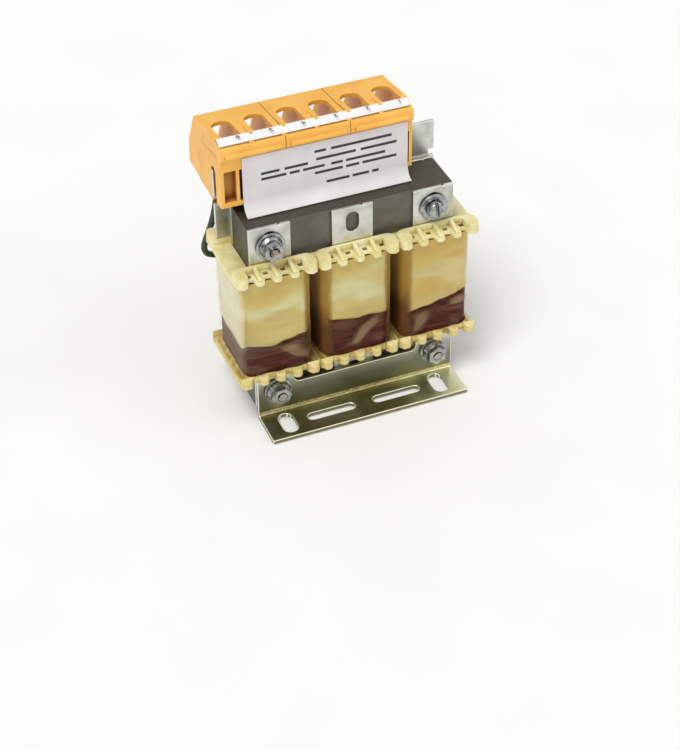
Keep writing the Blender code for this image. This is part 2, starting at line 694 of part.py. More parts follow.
def make_washer(name, x, z, inner_face, side, steel):
    """A flat washer standing on a face at the given distance from the core's middle plane."""
    loops = [circle(x, z, WASHER_DIAMETER / 2.0, 24), circle(x, z, BOLT_HOLE / 2.0)]
    near, far = sorted((side * (inner_face + SEAT), side * (inner_face + SEAT + WASHER_THICKNESS)))
    dress(front_plate(name, loops, near, far), steel)
    return inner_face + SEAT + WASHER_THICKNESS


def make_nut(name, x, z, inner_face, side, turn, steel):
    """A hexagon nut on its captive conical washer."""
    corner = NUT_ACROSS_FLATS / 2.0 / math.cos(math.radians(30.0))
    hexagon = [(x + corner * math.cos(math.radians(turn + 60.0 * i)),
                z + corner * math.sin(math.radians(turn + 60.0 * i))) for i in range(6)]
    base = inner_face + SEAT
    overlap = NUT_COLLAR_HEIGHT / 3.0
    near, far = sorted((side * (base + overlap), side * (base + NUT_HEIGHT)))
    nut = front_plate(name, [hexagon], near, far)
    collar = cone(f"{name}_collar", NUT_COLLAR_DIAMETER / 2.0, corner, NUT_COLLAR_HEIGHT,
                  (x, side * (base + NUT_COLLAR_HEIGHT / 2.0), z), (-side * QUARTER, 0.0, 0.0), 16)
    combine(nut, collar, "UNION")
    bore = rod(f"{name}_bore", (BOLT_DIAMETER + NUT_BORE_CLEARANCE) / 2.0, 3.0 * NUT_HEIGHT,
               (x, side * base, z), FRONT_TURN, 12)
    combine(nut, bore)
    dress(nut, steel)
    return base + NUT_HEIGHT


def make_bolt(name, x, z, head_face, head_side, far_end, slot_turn, steel):
    """A slotted cheese-head bolt; head_face and far_end are distances from the middle plane."""
    head_top = head_face + SEAT + HEAD_HEIGHT
    radius, head = BOLT_DIAMETER / 2.0, HEAD_DIAMETER / 2.0
    edge = 0.25 * MM
    under_head = head_face + SEAT
    profile = [(0.0, head_top), (head - edge, head_top), (head, head_top - edge), (head, under_head),
               (radius, under_head), (radius, -far_end + edge), (radius - edge, -far_end), (0.0, -far_end)]
    rotation = (QUARTER if head_side < 0.0 else -QUARTER, 0.0, 0.0)
    bolt = turned(name, profile, (x, 0.0, z), rotation)
    low = (-HEAD_DIAMETER, -HEAD_SLOT_WIDTH / 2.0, -HEAD_SLOT_DEPTH)
    high = (HEAD_DIAMETER, HEAD_SLOT_WIDTH / 2.0, HEAD_SLOT_DEPTH)
    cutter = box_cutter(f"{name}_slot", low, high)
    cutter.location = (x, head_side * head_top, z)
    cutter.rotation_euler = (QUARTER, math.radians(slot_turn), 0.0)
    combine(bolt, cutter)
    smooth(bolt)
    dress(bolt, steel)


def make_fasteners(steel):
    left, right = LIMB_XS[0], LIMB_XS[-1]
    joints = (
        ("upper_left", left, UPPER_BOLT_Z, STRAP_OUTER, CARRIER_OUTER, 1.0, UPPER_STUD_END, 12.0),
        ("upper_right", right, UPPER_BOLT_Z, STRAP_OUTER, CARRIER_OUTER, -1.0, UPPER_STUD_END, 84.0),
        ("lower_left", left, LOWER_BOLT_Z, LEG_OUTER, LEG_OUTER, 1.0, LOWER_STUD_END, 5.0),
        ("lower_right", right, LOWER_BOLT_Z, LEG_OUTER, LEG_OUTER, 1.0, LOWER_STUD_END, 24.0),
    )
    for name, x, z, front_face, rear_face, head_side, stud_end, turn in joints:
        front = make_washer(f"washer_front_{name}", x, z, front_face, -1.0, steel)
        rear = make_washer(f"washer_rear_{name}", x, z, rear_face, 1.0, steel)
        head_face, nut_face = (rear, front) if head_side > 0.0 else (front, rear)
        nut_top = make_nut(f"nut_{name}", x, z, nut_face, -head_side, turn, steel)
        make_bolt(f"bolt_{name}", x, z, head_face, head_side, nut_top + stud_end, turn, steel)


# Terminals

def make_carrier(zinc):
    """The upright plate bolted behind the upper yoke, notched at both edges above the core."""
    left = CARRIER_SHIFT - CARRIER_WIDTH / 2.0
    right = CARRIER_SHIFT + CARRIER_WIDTH / 2.0
    bottom, top = CORE_TOP - CARRIER_DROP, CORE_TOP + CARRIER_RISE
    low = CORE_TOP + CARRIER_NOTCH_RISE
    high = low + CARRIER_NOTCH_HEIGHT
    depth = CARRIER_NOTCH_DEPTH
    outline = [(left, bottom), (right, bottom), (right, low), (right - depth, low), (right - depth, high),
               (right, high), (right, top), (left, top), (left, high), (left + depth, high),
               (left + depth, low), (left, low)]
    holes = [circle(x, UPPER_BOLT_Z, BOLT_HOLE / 2.0) for x in (LIMB_XS[0], LIMB_XS[-1])]
    dress(front_plate("terminal_carrier", [outline] + holes, CARRIER_INNER, CARRIER_OUTER), zinc)


def roof_height(depth):
    """Height of the sloping top face at a distance behind the block's front face."""
    run = BLOCK_DEPTH - BLOCK_TAIL_STEP - STRIP_SEAT_WIDTH
    fall = (BLOCK_FRONT_HEIGHT - BLOCK_REAR_HEIGHT) * (depth - STRIP_SEAT_WIDTH) / run
    return BLOCK_BASE + BLOCK_FRONT_HEIGHT - fall


def block_profile():
    """The block from the side: lip and strip seat in front, sloping roof, slot for the plate below."""
    front, back = BLOCK_FRONT, BLOCK_BACK
    top = BLOCK_BASE + BLOCK_FRONT_HEIGHT
    seat_high = top - STRIP_THICKNESS + STRIP_SUNK
    seat_low = seat_high - STRIP_SEAT_FALL
    lip_front = front - LIP_OVERHANG
    lip_bottom = seat_low - LIP_HEIGHT
    slot_front = CARRIER_INNER - PLATE_SLOT_ROOM
    slot_back = CARRIER_OUTER + SLIDE
    slot_radius = (slot_back - slot_front) / 2.0
    slot_top = CORE_TOP + CARRIER_RISE + PLATE_SLOT_TOP_GAP
    rear_top = back - BLOCK_TAIL_STEP
    toe = 1.8 * MM
    lip_round = 0.9 * MM
    points = [(front, BLOCK_BASE + toe), (front, lip_bottom), (lip_front + lip_round, lip_bottom)]
    points += arc(lip_front + lip_round, lip_bottom + lip_round, lip_round, 3, 2)
    points += arc(lip_front + lip_round, seat_low - lip_round + 0.45 * MM, lip_round, 2, 1)
    points += [(front + 0.5 * MM, seat_low), (front + STRIP_SEAT_WIDTH, seat_high),
               (front + STRIP_SEAT_WIDTH, top)]
    points += [(rear_top - 0.7 * MM, roof_height(rear_top - front) + 0.05 * MM),
               (rear_top, BLOCK_BASE + BLOCK_REAR_HEIGHT - 0.3 * MM)]
    points += [(back - 0.2 * MM, BLOCK_BASE + BLOCK_TAIL_HEIGHT + 0.4 * MM),
               (back, BLOCK_BASE + BLOCK_TAIL_HEIGHT), (back, BLOCK_BASE + 1.1 * MM)]
    step = front + BLOCK_STEP_REACH
    points += [(step, BLOCK_BASE + 0.7 * MM), (step, BLOCK_BASE + 0.3 * MM)]
    points += [(slot_back, BLOCK_BASE)]
    points += arc(slot_back - slot_radius, slot_top - slot_radius, slot_radius, 0, 2, 6)
    points += [(slot_front, BLOCK_BASE + 1.2 * MM), (front + 1.6 * MM, BLOCK_BASE + 1.2 * MM)]
    return points[::-1]


def make_block(index, plastic):
    name = f"terminal_block_{index}"
    left = BLOCK_LEFT + (index - 1) * BLOCK_PITCH + BLOCK_GAP / 2.0
    right = left + BLOCK_PITCH - BLOCK_GAP
    middle = (left + right) / 2.0
    block = side_plate(name, [block_profile()], left, right)
    top = BLOCK_BASE + BLOCK_FRONT_HEIGHT
    over = top + ROOF
    floor = BLOCK_BASE + CHAMBER_FLOOR
    chamber_front = BLOCK_FRONT + CHAMBER_FRONT
    behind = BLOCK_BACK + ROOF
    clamp_back = chamber_front + CLAMP_DEPTH + 2.0 * SLIDE
    tail_floor = BLOCK_BASE + CHAMBER_TAIL_FLOOR
    tools = []
    for number, shift in enumerate((-POLE_PITCH / 2.0, POLE_PITCH / 2.0), 1):
        x = middle + shift
        half = CHAMBER_WIDTH / 2.0
        back_roof = roof_height(BLOCK_DEPTH - BLOCK_TAIL_STEP) - ROOF
        front_roof = roof_height(CHAMBER_FRONT) - ROOF
        chamber = [(chamber_front, floor), (clamp_back, floor), (behind, tail_floor), (behind, back_roof - 0.5 * MM),
                   (BLOCK_BACK - BLOCK_TAIL_STEP, back_roof), (chamber_front, front_roof)]
        tools.append(side_plate(f"{name}_chamber_{number}", [chamber], x - half, x + half, CUTTERS))
        entry_radius = ENTRY_WIDTH / 2.0
        centre_y = BLOCK_FRONT + ENTRY_BACK - entry_radius
        entry_front = BLOCK_FRONT + STRIP_SEAT_WIDTH - 0.02 * MM
        entry = ([(x + entry_radius, entry_front)] + arc(x, centre_y, entry_radius, 0, 2, 10)
                 + [(x - entry_radius, entry_front)])
        sill = top - 5.5 * MM
        tools.append(plan_plate(f"{name}_entry_{number}", [entry], sill, over, CUTTERS))
        lead_radius = (LEAD_DIAMETER + LEAD_HOLE_CLEARANCE) / 2.0
        hole_length = CHAMBER_FLOOR + 2.0 * ROOF
        tools.append(rod(f"{name}_lead_hole_{number}", lead_radius, hole_length,
                         (x, LEAD_PLANE, BLOCK_BASE + CHAMBER_FLOOR / 2.0), steps=12))
    pocket_back = BLOCK_FRONT + POCKET_DEPTH
    pocket_step = POCKET_WIDTH + POCKET_WALL
    for number in range(4):
        pocket_left = left + POCKET_WALL + number * pocket_step
        low = (pocket_left, BLOCK_FRONT - LIP_OVERHANG * 2.0, BLOCK_BASE + POCKET_FLOOR)
        high = (pocket_left + POCKET_WIDTH, pocket_back, BLOCK_BASE + POCKET_TOP)
        tools.append(box_cutter(f"{name}_pocket_{number + 1}", low, high))
    for tool in tools:
        combine(block, tool)
    bar = rod(f"{name}_lip_bar", BAR_RADIUS, right - left - 2.0 * BAR_END_GAP,
              (middle, BLOCK_FRONT - LIP_OVERHANG + 0.2 * MM, top - STRIP_SEAT_FALL - BAR_DROP),
              (0.0, QUARTER, 0.0), 12)
    combine(block, bar, "UNION")
    dress(block, plastic)
    return [middle - POLE_PITCH / 2.0, middle + POLE_PITCH / 2.0]


def make_marker_strip(white):
    """The white strip that lies in the seats behind the lip, across all blocks."""
    front = BLOCK_FRONT + 0.5 * MM
    back = BLOCK_FRONT + STRIP_SEAT_WIDTH
    high = BLOCK_BASE + BLOCK_FRONT_HEIGHT - STRIP_THICKNESS + STRIP_SUNK + SEAT
    low = high - STRIP_SEAT_FALL
    margin = 0.15 * MM
    profile = [(front + margin, low + margin), (back - margin, high), (back - margin, high + STRIP_THICKNESS),
               (front + margin, low + STRIP_THICKNESS)]
    left = BLOCK_LEFT + STRIP_END_GAP
    right = BLOCK_LEFT + BLOCK_COUNT * BLOCK_PITCH - STRIP_END_GAP
    dress(side_plate("marker_strip", [profile[::-1]], left, right), white)


def make_clamp(index, x, steel):
    """A screw cage on the chamber's floor, with its wire hole to the rear and its screw upwards."""
    name = f"terminal_clamp_{index}"
    front = BLOCK_FRONT + CHAMBER_FRONT + SLIDE
    bottom = BLOCK_BASE + CHAMBER_FLOOR + SEAT
    wire_z = bottom + CLAMP_HEIGHT / 2.0
    cage = rectangle(x, wire_z, CLAMP_WIDTH / 2.0, CLAMP_HEIGHT / 2.0)
    hole = circle(x, wire_z - CLAMP_HOLE_DROP, CLAMP_WIRE_HOLE / 2.0, 8)
    clamp = front_plate(name, [cage, hole], front, front + CLAMP_DEPTH)
    overlap = 0.5 * MM
    head_radius = CLAMP_SCREW_DIAMETER / 2.0
    screw = rod(f"{name}_screw", head_radius, CLAMP_SCREW_RISE + overlap,
                (x, front + CLAMP_DEPTH / 2.0, bottom + CLAMP_HEIGHT + (CLAMP_SCREW_RISE - overlap) / 2.0), steps=10)
    combine(clamp, screw, "UNION")
    screw_top = bottom + CLAMP_HEIGHT + CLAMP_SCREW_RISE
    low = (x - HEAD_DIAMETER, front + CLAMP_DEPTH / 2.0 - 0.4 * MM, screw_top - 0.7 * MM)
    high = (x + HEAD_DIAMETER, front + CLAMP_DEPTH / 2.0 + 0.4 * MM, screw_top + 0.7 * MM)
    combine(clamp, box_cutter(f"{name}_screw_slot", low, high))
    dress(clamp, steel)


def make_label(white):
    """A plain label down the front of the blocks, its lower edge curling forward onto the core."""
    left = BLOCK_LEFT + LABEL_LEFT
    right = BLOCK_LEFT + BLOCK_COUNT * BLOCK_PITCH - LABEL_RIGHT
    face = BLOCK_FRONT - LABEL_FACE_GAP - LABEL_THICKNESS / 2.0
    seat_low = BLOCK_BASE + BLOCK_FRONT_HEIGHT - STRIP_THICKNESS + STRIP_SUNK - STRIP_SEAT_FALL
    top = seat_low - LIP_HEIGHT - LABEL_TOP_GAP
    bottom = CORE_TOP + SEAT + LABEL_THICKNESS
    bend = CORE_TOP + LABEL_BEND_START
    path = [(face, top), (face, (top + bend) / 2.0)]
    steps = 8
    for i in range(steps + 1):
        angle = QUARTER * i / steps
        path.append((face - LABEL_SKIRT_REACH * (1.0 - math.cos(angle)), bend - (bend - bottom) * math.sin(angle)))
    shape = bmesh.new()
    near = [shape.verts.new((left, y, z)) for y, z in path]
    edges = [shape.edges.new(pair) for pair in zip(near, near[1:])]
    swept = bmesh.ops.extrude_edge_only(shape, edges=edges)
    moved = [item for item in swept["geom"] if isinstance(item, bmesh.types.BMVert)]
    bmesh.ops.translate(shape, vec=(right - left, 0.0, 0.0), verts=moved)
    mesh = bpy.data.meshes.new("front_label")
    shape.to_mesh(mesh)
    shape.free()
    label = place("front_label", mesh)
    wall = label.modifiers.new("wall", "SOLIDIFY")
    wall.thickness = LABEL_THICKNESS
    wall.offset = 0.0
    smooth(label)
    dress(label, white)


# Leads

def lead_route(x, coil_x):
    """From a block's underside down behind the coil and forward into the winding's back."""
    entry = LEAD_ENTRY_HEIGHT
    end_y = WINDING_Y + FILM_GROWTH + SEAT
    side = -1.0 if coil_x < x else 1.0
    bow = coil_x - side * LEAD_BOW
    fall = BLOCK_BASE - LEAD_DROP
    half_way = (fall + entry + LEAD_BEND) / 2.0
    return [
        (x, LEAD_PLANE, BLOCK_BASE + LEAD_INSERTION),
        (x, LEAD_PLANE, BLOCK_BASE - LEAD_DROP / 4.0),
        (x + (coil_x - x) * 0.2, LEAD_PLANE, fall),
        (x + (coil_x - x) * 0.7, LEAD_PLANE, half_way),
        (bow, LEAD_PLANE, entry + LEAD_BEND),
        (bow, LEAD_PLANE - LEAD_BOW / 2.0, entry + LEAD_BEND / 4.0),
        (coil_x, (LEAD_PLANE + end_y) / 2.0, entry),
        (coil_x, end_y, entry),
    ]


def outer_lead_route(x, coil_x):
    """The leftmost lead, which bows out past the coil and hooks back before it turns in."""
    entry = LEAD_ENTRY_HEIGHT
    end_y = WINDING_Y + FILM_GROWTH + SEAT
    edge = LIMB_XS[0] - FLANGE_X + OUTER_LEAD_INSET
    fall = BLOCK_BASE - LEAD_DROP
    lean = x - edge
    return [
        (x, LEAD_PLANE, BLOCK_BASE + LEAD_INSERTION),
        (x, LEAD_PLANE, BLOCK_BASE - LEAD_DROP / 4.0),
        (x - lean * 0.15, LEAD_PLANE, fall),
        (x - lean * 0.45, LEAD_PLANE, (fall + entry + LEAD_BEND) / 2.0),
        (edge, LEAD_PLANE, entry + LEAD_BEND * 0.8),
        (edge + LEAD_BOW * 0.3, LEAD_PLANE, entry + LEAD_BEND * 0.2),
        (edge + LEAD_BOW * 1.4, LEAD_PLANE, entry),
        (x - LEAD_BOW * 0.4, LEAD_PLANE - LEAD_BOW * 0.3, entry),
        (coil_x, (LEAD_PLANE + end_y) / 2.0, entry),
        (coil_x, end_y, entry),
    ]


def smooth_route(points, step):
    """Evenly spaced points on a Catmull-Rom curve through the given ones."""
    ends = [points[0]] + list(points) + [points[-1]]
    dense = []
    for a, b, c, d in zip(ends, ends[1:], ends[2:], ends[3:]):
        for i in range(24):
            t = i / 24.0
            dense.append(tuple(
                0.5 * (2.0 * q + (r - p) * t + (2.0 * p - 5.0 * q + 4.0 * r - s) * t * t
                       + (3.0 * q - p - 3.0 * r + s) * t * t * t)
                for p, q, r, s in zip(a, b, c, d)))
    dense.append(tuple(points[-1]))
    lengths = [0.0]
    for first, second in zip(dense, dense[1:]):
        lengths.append(lengths[-1] + math.dist(first, second))
    count = max(2, round(lengths[-1] / step))
    route, at = [], 0
    for i in range(count + 1):
        target = lengths[-1] * i / count
        while at < len(lengths) - 2 and lengths[at + 1] < target:
            at += 1
        span = lengths[at + 1] - lengths[at]
        share = (target - lengths[at]) / span if span > 0.0 else 0.0
        route.append(tuple(p + (q - p) * share for p, q in zip(dense[at], dense[at + 1])))
    return route


def make_lead(index, route, sleeve):
    name = f"winding_lead_{index}"
    curve = bpy.data.curves.new(name, "CURVE")
    curve.dimensions = "3D"
    curve.bevel_depth = LEAD_DIAMETER / 2.0
    curve.bevel_resolution = 2
    curve.use_fill_caps = True
    points = smooth_route(route, 1.3 * LEAD_DIAMETER)
    spline = curve.splines.new("POLY")
    spline.points.add(len(points) - 1)
    for point, place_at in zip(spline.points, points):
        point.co = (*place_at, 1.0)
    lead = bpy.data.objects.new(name, curve)
    bpy.data.collections[PARTS].objects.link(lead)
    curve.materials.append(sleeve)


def make_leads(pole_xs, sleeve):
    for index, x in enumerate(pole_xs, 1):
        coil = LIMB_XS[(index - 1) // 2]
        end_x = coil + (LEAD_SPREAD if index % 2 == 0 else -LEAD_SPREAD)
        make_lead(index, outer_lead_route(x, end_x) if index == 1 else lead_route(x, end_x), sleeve)


def main():
    clear_scene()
    parts = new_collection(PARTS)
    new_collection(CUTTERS)
    steel = finish("varnished_core_steel", (0.10, 0.095, 0.085), 0.45, 0.6)
    card = finish("gap_card", (0.45, 0.36, 0.22), 0.8)
    zinc = finish("zinc_plate", (0.56, 0.57, 0.55), 0.35, 0.9)
    plated = finish("olive_zinc_plate", (0.25, 0.24, 0.15), 0.35, 0.9)
    nylon = finish("natural_nylon", (0.80, 0.72, 0.42), 0.4)
    copper = finish("enamelled_copper", (0.12, 0.035, 0.02), 0.3, 0.5)
    tape = finish("yellow_tape", (0.60, 0.47, 0.20), 0.35)
    film = finish("clear_film", (0.85, 0.82, 0.70), 0.15)
    screw_steel = finish("bright_zinc_fastener", (0.50, 0.51, 0.50), 0.3, 0.9)
    plastic = finish("orange_terminal_plastic", (0.83, 0.43, 0.11), 0.4)
    white = finish("white_print_plastic", (0.88, 0.87, 0.86), 0.5)
    sleeve = finish("dark_green_sleeve", (0.03, 0.05, 0.025), 0.5)

    make_core(steel, card)
    make_straps(zinc)
    make_foot("foot_front", -1.0, plated)
    make_foot("foot_rear", 1.0, plated)
    for index, x in enumerate(LIMB_XS, 1):
        make_bobbin(index, x, nylon)
    make_windings(copper, tape, film)
    make_fasteners(screw_steel)
    make_carrier(zinc)
    pole_xs = []
    for index in range(1, BLOCK_COUNT + 1):
        pole_xs += make_block(index, plastic)
    make_marker_strip(white)
    for index, x in enumerate(pole_xs, 1):
        make_clamp(index, x, screw_steel)
    make_label(white)
    make_leads(pole_xs, sleeve)

    root = bpy.data.objects.new("reactor_root", None)
    root.location = (0.0, CORE_Y, 0.0)
    parts.objects.link(root)
    for item in list(parts.objects) + list(bpy.data.collections[CUTTERS].objects):
        if item is not root:
            item.parent = root


main()
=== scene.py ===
"""Finished look of a three-phase line reactor: laminated core, three taped coils in nylon bobbins,
zinc-plated straps and feet, and a row of orange terminal blocks. Sizes are in millimetres in the
classes and become metres where a mesh is made."""

import logging
import math
from collections.abc import Callable, Sequence
from dataclasses import dataclass
from enum import Enum

import bmesh
import bpy
from bmesh.types import BMEdge, BMesh, BMVert
from bpy.types import Node, NodeSocket, NodeTree, Object
from mathutils import Matrix, Vector, noise
from mathutils.bvhtree import BVHTree


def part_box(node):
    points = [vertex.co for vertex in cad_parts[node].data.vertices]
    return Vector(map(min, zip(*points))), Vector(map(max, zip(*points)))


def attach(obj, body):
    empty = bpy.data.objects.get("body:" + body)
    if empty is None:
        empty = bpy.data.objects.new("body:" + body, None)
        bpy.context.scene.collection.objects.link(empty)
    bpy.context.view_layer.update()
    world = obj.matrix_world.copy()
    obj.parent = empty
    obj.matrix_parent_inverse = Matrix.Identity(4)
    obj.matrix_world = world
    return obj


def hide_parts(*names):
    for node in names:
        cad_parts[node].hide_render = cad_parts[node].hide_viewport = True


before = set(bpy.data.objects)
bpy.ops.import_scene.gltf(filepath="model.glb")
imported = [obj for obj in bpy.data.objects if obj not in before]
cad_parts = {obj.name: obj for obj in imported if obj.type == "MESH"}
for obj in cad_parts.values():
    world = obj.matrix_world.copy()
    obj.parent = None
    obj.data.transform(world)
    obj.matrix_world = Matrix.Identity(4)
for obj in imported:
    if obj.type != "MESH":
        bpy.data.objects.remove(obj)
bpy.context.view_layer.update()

MM = 0.001
LOG = logging.getLogger("reactor")
READS_PLACE = ("TexNoise", "TexWave", "Mapping", "SeparateXYZ")    # nodes that look at a place


def linear(code: str) -> tuple[float, float, float, float]:
    """Turns an sRGB hex colour into linear values.

    Args:
        code: Colour such as "#C8CAC5".

    Returns:
        Red, green, blue and an alpha of 1.
    """
    parts = [int(code[i:i + 2], 16) / 255 for i in (1, 3, 5)]
    red, green, blue = [p / 12.92 if p <= 0.04045 else ((p + 0.055) / 1.055) ** 2.4 for p in parts]
    return red, green, blue, 1.0


def per(size: float) -> float:
    """Noise scale whose features are about size millimetres across."""
    return 1 / (size * MM)


def bands(pitch: float) -> float:
    """Wave scale whose bands repeat every pitch millimetres."""
    return 2 * math.pi / (20 * pitch * MM)


@dataclass
class Canvas:
    """An emptied node tree of a material or the world, with the coordinates its patterns lie on."""

    tree: NodeTree
    space: str = "Object"

    def __post_init__(self) -> None:
        """Empties the tree and finds the coordinates."""
        self.tree.nodes.clear()
        self.place = self.add("TexCoord").outputs[self.space]

    def add(self, kind: str, inputs: dict | Sequence = (), **settings: object) -> Node:
        """Adds a shader node with its settings, input values and links.

        Args:
            kind: Node type without its "ShaderNode" prefix, and a maths node's operation after it.
            inputs: Input name or number to a value, a hex colour, or the socket or node that feeds it;
                a plain sequence fills the first inputs. A node stands for its first output, and a
                mix for its colour.
            **settings: Properties of the node; "stops" gives a ramp's places and colours.

        Returns:
            The new node.
        """
        kind, _, operation = kind.partition(" ")
        made = self.tree.nodes.new("ShaderNode" + kind)
        stops = settings.pop("stops", ())
        if operation:
            made.operation = operation
        if kind == "Mix":
            made.data_type = "RGBA"
        for name, value in settings.items():
            setattr(made, name, value)
        if stops:
            ends = made.color_ramp.elements
            for element, (place, code) in zip((ends[0], ends[1]), (stops[0], stops[-1])):
                element.position, element.color = place, linear(code)
            for place, code in stops[1:-1]:
                ends.new(place).color = linear(code)
        for key, value in inputs.items() if isinstance(inputs, dict) else enumerate(inputs):
            if isinstance(value, Node):
                value = value.outputs[2 if value.bl_idname == "ShaderNodeMix" else 0]
            if isinstance(value, NodeSocket):
                self.tree.links.new(value, made.inputs[key])
            else:
                made.inputs[key].default_value = linear(value) if isinstance(value, str) else value
        if kind in READS_PLACE and not made.inputs["Vector"].is_linked:
            self.tree.links.new(self.place, made.inputs["Vector"])
        return made

    def facing(self, axis: str) -> NodeSocket:
        """Gives how much of the surface's direction lies along an axis, from -1 to 1."""
        return self.add("SeparateXYZ", (self.add("NewGeometry").outputs["Normal"],)).outputs[axis]

    def surface(self, **inputs: object) -> None:
        """Adds the shader with its inputs, where an underscore stands for a space."""
        shader = self.add("BsdfPrincipled", {key.replace("_", " "): value for key, value in inputs.items()})
        self.add("OutputMaterial", {"Surface": shader})


@dataclass(frozen=True)
class Finish:
    """A material named for what the real one is."""

    name: str
    slot: str

    def material(self) -> bpy.types.Material:
        """Makes the material once and gives it back."""
        made = bpy.data.materials.get(self.name)
        if made is None:
            made = bpy.data.materials.new(self.name)
            made.use_nodes = True
            self.paint(Canvas(made.node_tree))
        return made

    def paint(self, on: Canvas) -> None:
        """Adds the pattern and the shader."""
        raise NotImplementedError


@dataclass(frozen=True)
class VarnishedCoreSteel(Finish):
    """Silicon steel sheets, punched, stacked and dipped in varnish: a dull grey face, and dark
    sheet edges that show as fine lines on the top and sides."""

    sheet: float = 1.0    # a real sheet is 0.5; drawn twice as coarse so that the lines show
    face: str = "#68645E"
    edge: str = "#4C483F"

    def paint(self, on: Canvas) -> None:
        """Adds sheet lines on the edges and a cloudy varnish on the face."""
        lines = on.add("TexWave",
                       {"Scale": bands(self.sheet), "Distortion": 0.6, "Detail": 2.0, "Detail Scale": 0.2},
                       bands_direction="Y")
        cloud = on.add("TexNoise", {"Scale": per(6.0), "Detail": 6.0})
        flat = on.add("Math ABSOLUTE", (on.facing("Y"),))
        streaks = on.add("ValToRGB", (lines.outputs["Fac"],),
                         stops=((0.0, "#2E2B25"), (0.35, self.edge), (1.0, "#5B564B")))
        skin = on.add("ValToRGB", (cloud,), stops=((0.3, "#5B574F"), (0.5, self.face), (0.75, "#76726A")))
        tone = on.add("Mix", {0: flat, 6: streaks, 7: skin})
        rough = on.add("MapRange", (cloud, 0.0, 1.0, 0.34, 0.52))
        bump = on.add("Bump", {"Height": lines.outputs["Fac"], "Strength": 0.35, "Distance": 0.08 * MM})
        on.surface(Base_Color=tone, Roughness=rough, Metallic=0.45, Normal=bump)


@dataclass(frozen=True)
class ZincPlate(Finish):
    """Steel strip with clear-passivated zinc, rolled and sheared: pale silver-grey with soft clouds
    and faint rolling lines."""

    tone: str = "#D2D3CD"
    rolling: float = 0.5    # real rolling lines are finer; drawn coarse enough to show

    def paint(self, on: Canvas) -> None:
        """Adds clouds to the colour, a painted highlight on the rounded edges, and rolling lines to the
        gloss.
        """
        cloud = on.add("TexNoise", {"Scale": per(5.0), "Detail": 4.0})
        stretch = on.add("Mapping", {"Scale": (per(self.rolling), per(4), per(12))})
        lines = on.add("TexNoise", {"Vector": stretch, "Scale": 1.0, "Detail": 2.0})
        tone = on.add("ValToRGB", (cloud,), stops=((0.3, "#B8B7AA"), (0.52, self.tone), (0.75, "#E2E2DC")))
        # painted highlight: the rounded edges are painted near-white
        edge_highlight = on.add("Attribute", attribute_name="edge_highlight").outputs["Fac"]
        edge_highlighted = on.add("Mix", {0: edge_highlight, 6: tone, 7: "#EEF0EC"})
        rough = on.add("MapRange", (lines, 0.0, 1.0, 0.24, 0.46))
        bump = on.add("Bump", {"Height": lines, "Strength": 0.08, "Distance": 0.05 * MM})
        on.surface(Base_Color=edge_highlighted, Roughness=rough, Metallic=1.0, Normal=bump)


@dataclass(frozen=True)
class OliveZincPlate(Finish):
    """Steel strip with yellow-passivated zinc, bent cold: olive metal with gold and green
    patches, a painted reflection near the right end, upright faces painted darker low down and
    paler higher up, and a painted gold highlight along the bend, where the plating is crumpled."""

    bend_height: float = 2.3
    bend_band: float = 0.8
    half_length: float = 33.0

    def paint(self, on: Canvas) -> None:
        """Adds the patches, the painted reflection and shade, and the painted gold highlight at the height of
        the bend, where the plating is crumpled.
        """
        cloud = on.add("TexNoise", {"Scale": per(11.0), "Detail": 2.0, "Distortion": 0.6})
        fine = on.add("TexNoise", {"Scale": per(0.7), "Detail": 4.0})
        axes = on.add("SeparateXYZ")
        height = axes.outputs["Z"]
        along = on.add("MapRange", (axes.outputs["X"], -self.half_length * MM, self.half_length * MM))
        drift = on.add("MapRange", (cloud, 0.3, 0.7, -0.1, 0.1))
        spread = on.add("Math ADD", (along, drift))
        # passivation patches along the foot, with a painted reflection at the pale right end
        plating = on.add("ValToRGB", (spread,),
                         stops=((0.0, "#A8A380"), (0.14, "#7E7A52"), (0.3, "#9C9878"), (0.48, "#77714F"),
                                (0.66, "#8E8A60"), (0.8, "#BDBC90"), (0.93, "#EEF0CE")))
        upright = on.facing("Z")
        lying = on.add("Math ABSOLUTE", (upright,))
        # upright faces: painted shade near the floor and a painted reflection higher up
        rise = on.add("MapRange", (height, 3.0 * MM, 16.0 * MM))
        leg = on.add("ValToRGB", (rise,),
                     stops=((0.0, "#7F7C60"), (0.35, "#87867A"), (0.7, "#A9A99C"), (0.95, "#D8D8CC")))
        tone = on.add("Mix", {0: lying, 6: leg, 7: plating})
        # painted highlight: a gold line along the bend; the same mask also gives the crumpled bumps
        away = on.add("Math SUBTRACT", (height, self.bend_height * MM))
        reach = on.add("Math ABSOLUTE", (away,))
        near = on.add("MapRange", (reach, 0.0, self.bend_band * MM, 1.0, 0.0))
        bend_crumple_and_highlight = on.add("Math MULTIPLY", (near, fine))
        bend_highlight = on.add("MapRange", (bend_crumple_and_highlight, 0.1, 0.45))
        gold = on.add("Mix", {0: bend_highlight, 6: tone, 7: "#F5E6A0"})
        # painted highlight: the rounded edges are painted near-white
        edge_highlight = on.add("Attribute", attribute_name="edge_highlight").outputs["Fac"]
        bright = on.add("Mix", {0: edge_highlight, 6: gold, 7: "#F4F3E0"})
        rough = on.add("MapRange", (fine, 0.0, 1.0, 0.22, 0.42))
        bump = on.add("Bump", {"Height": bend_crumple_and_highlight, "Strength": 0.9, "Distance": 0.35 * MM})
        on.surface(Base_Color=bright, Roughness=rough, Metallic=1.0, Normal=bump)


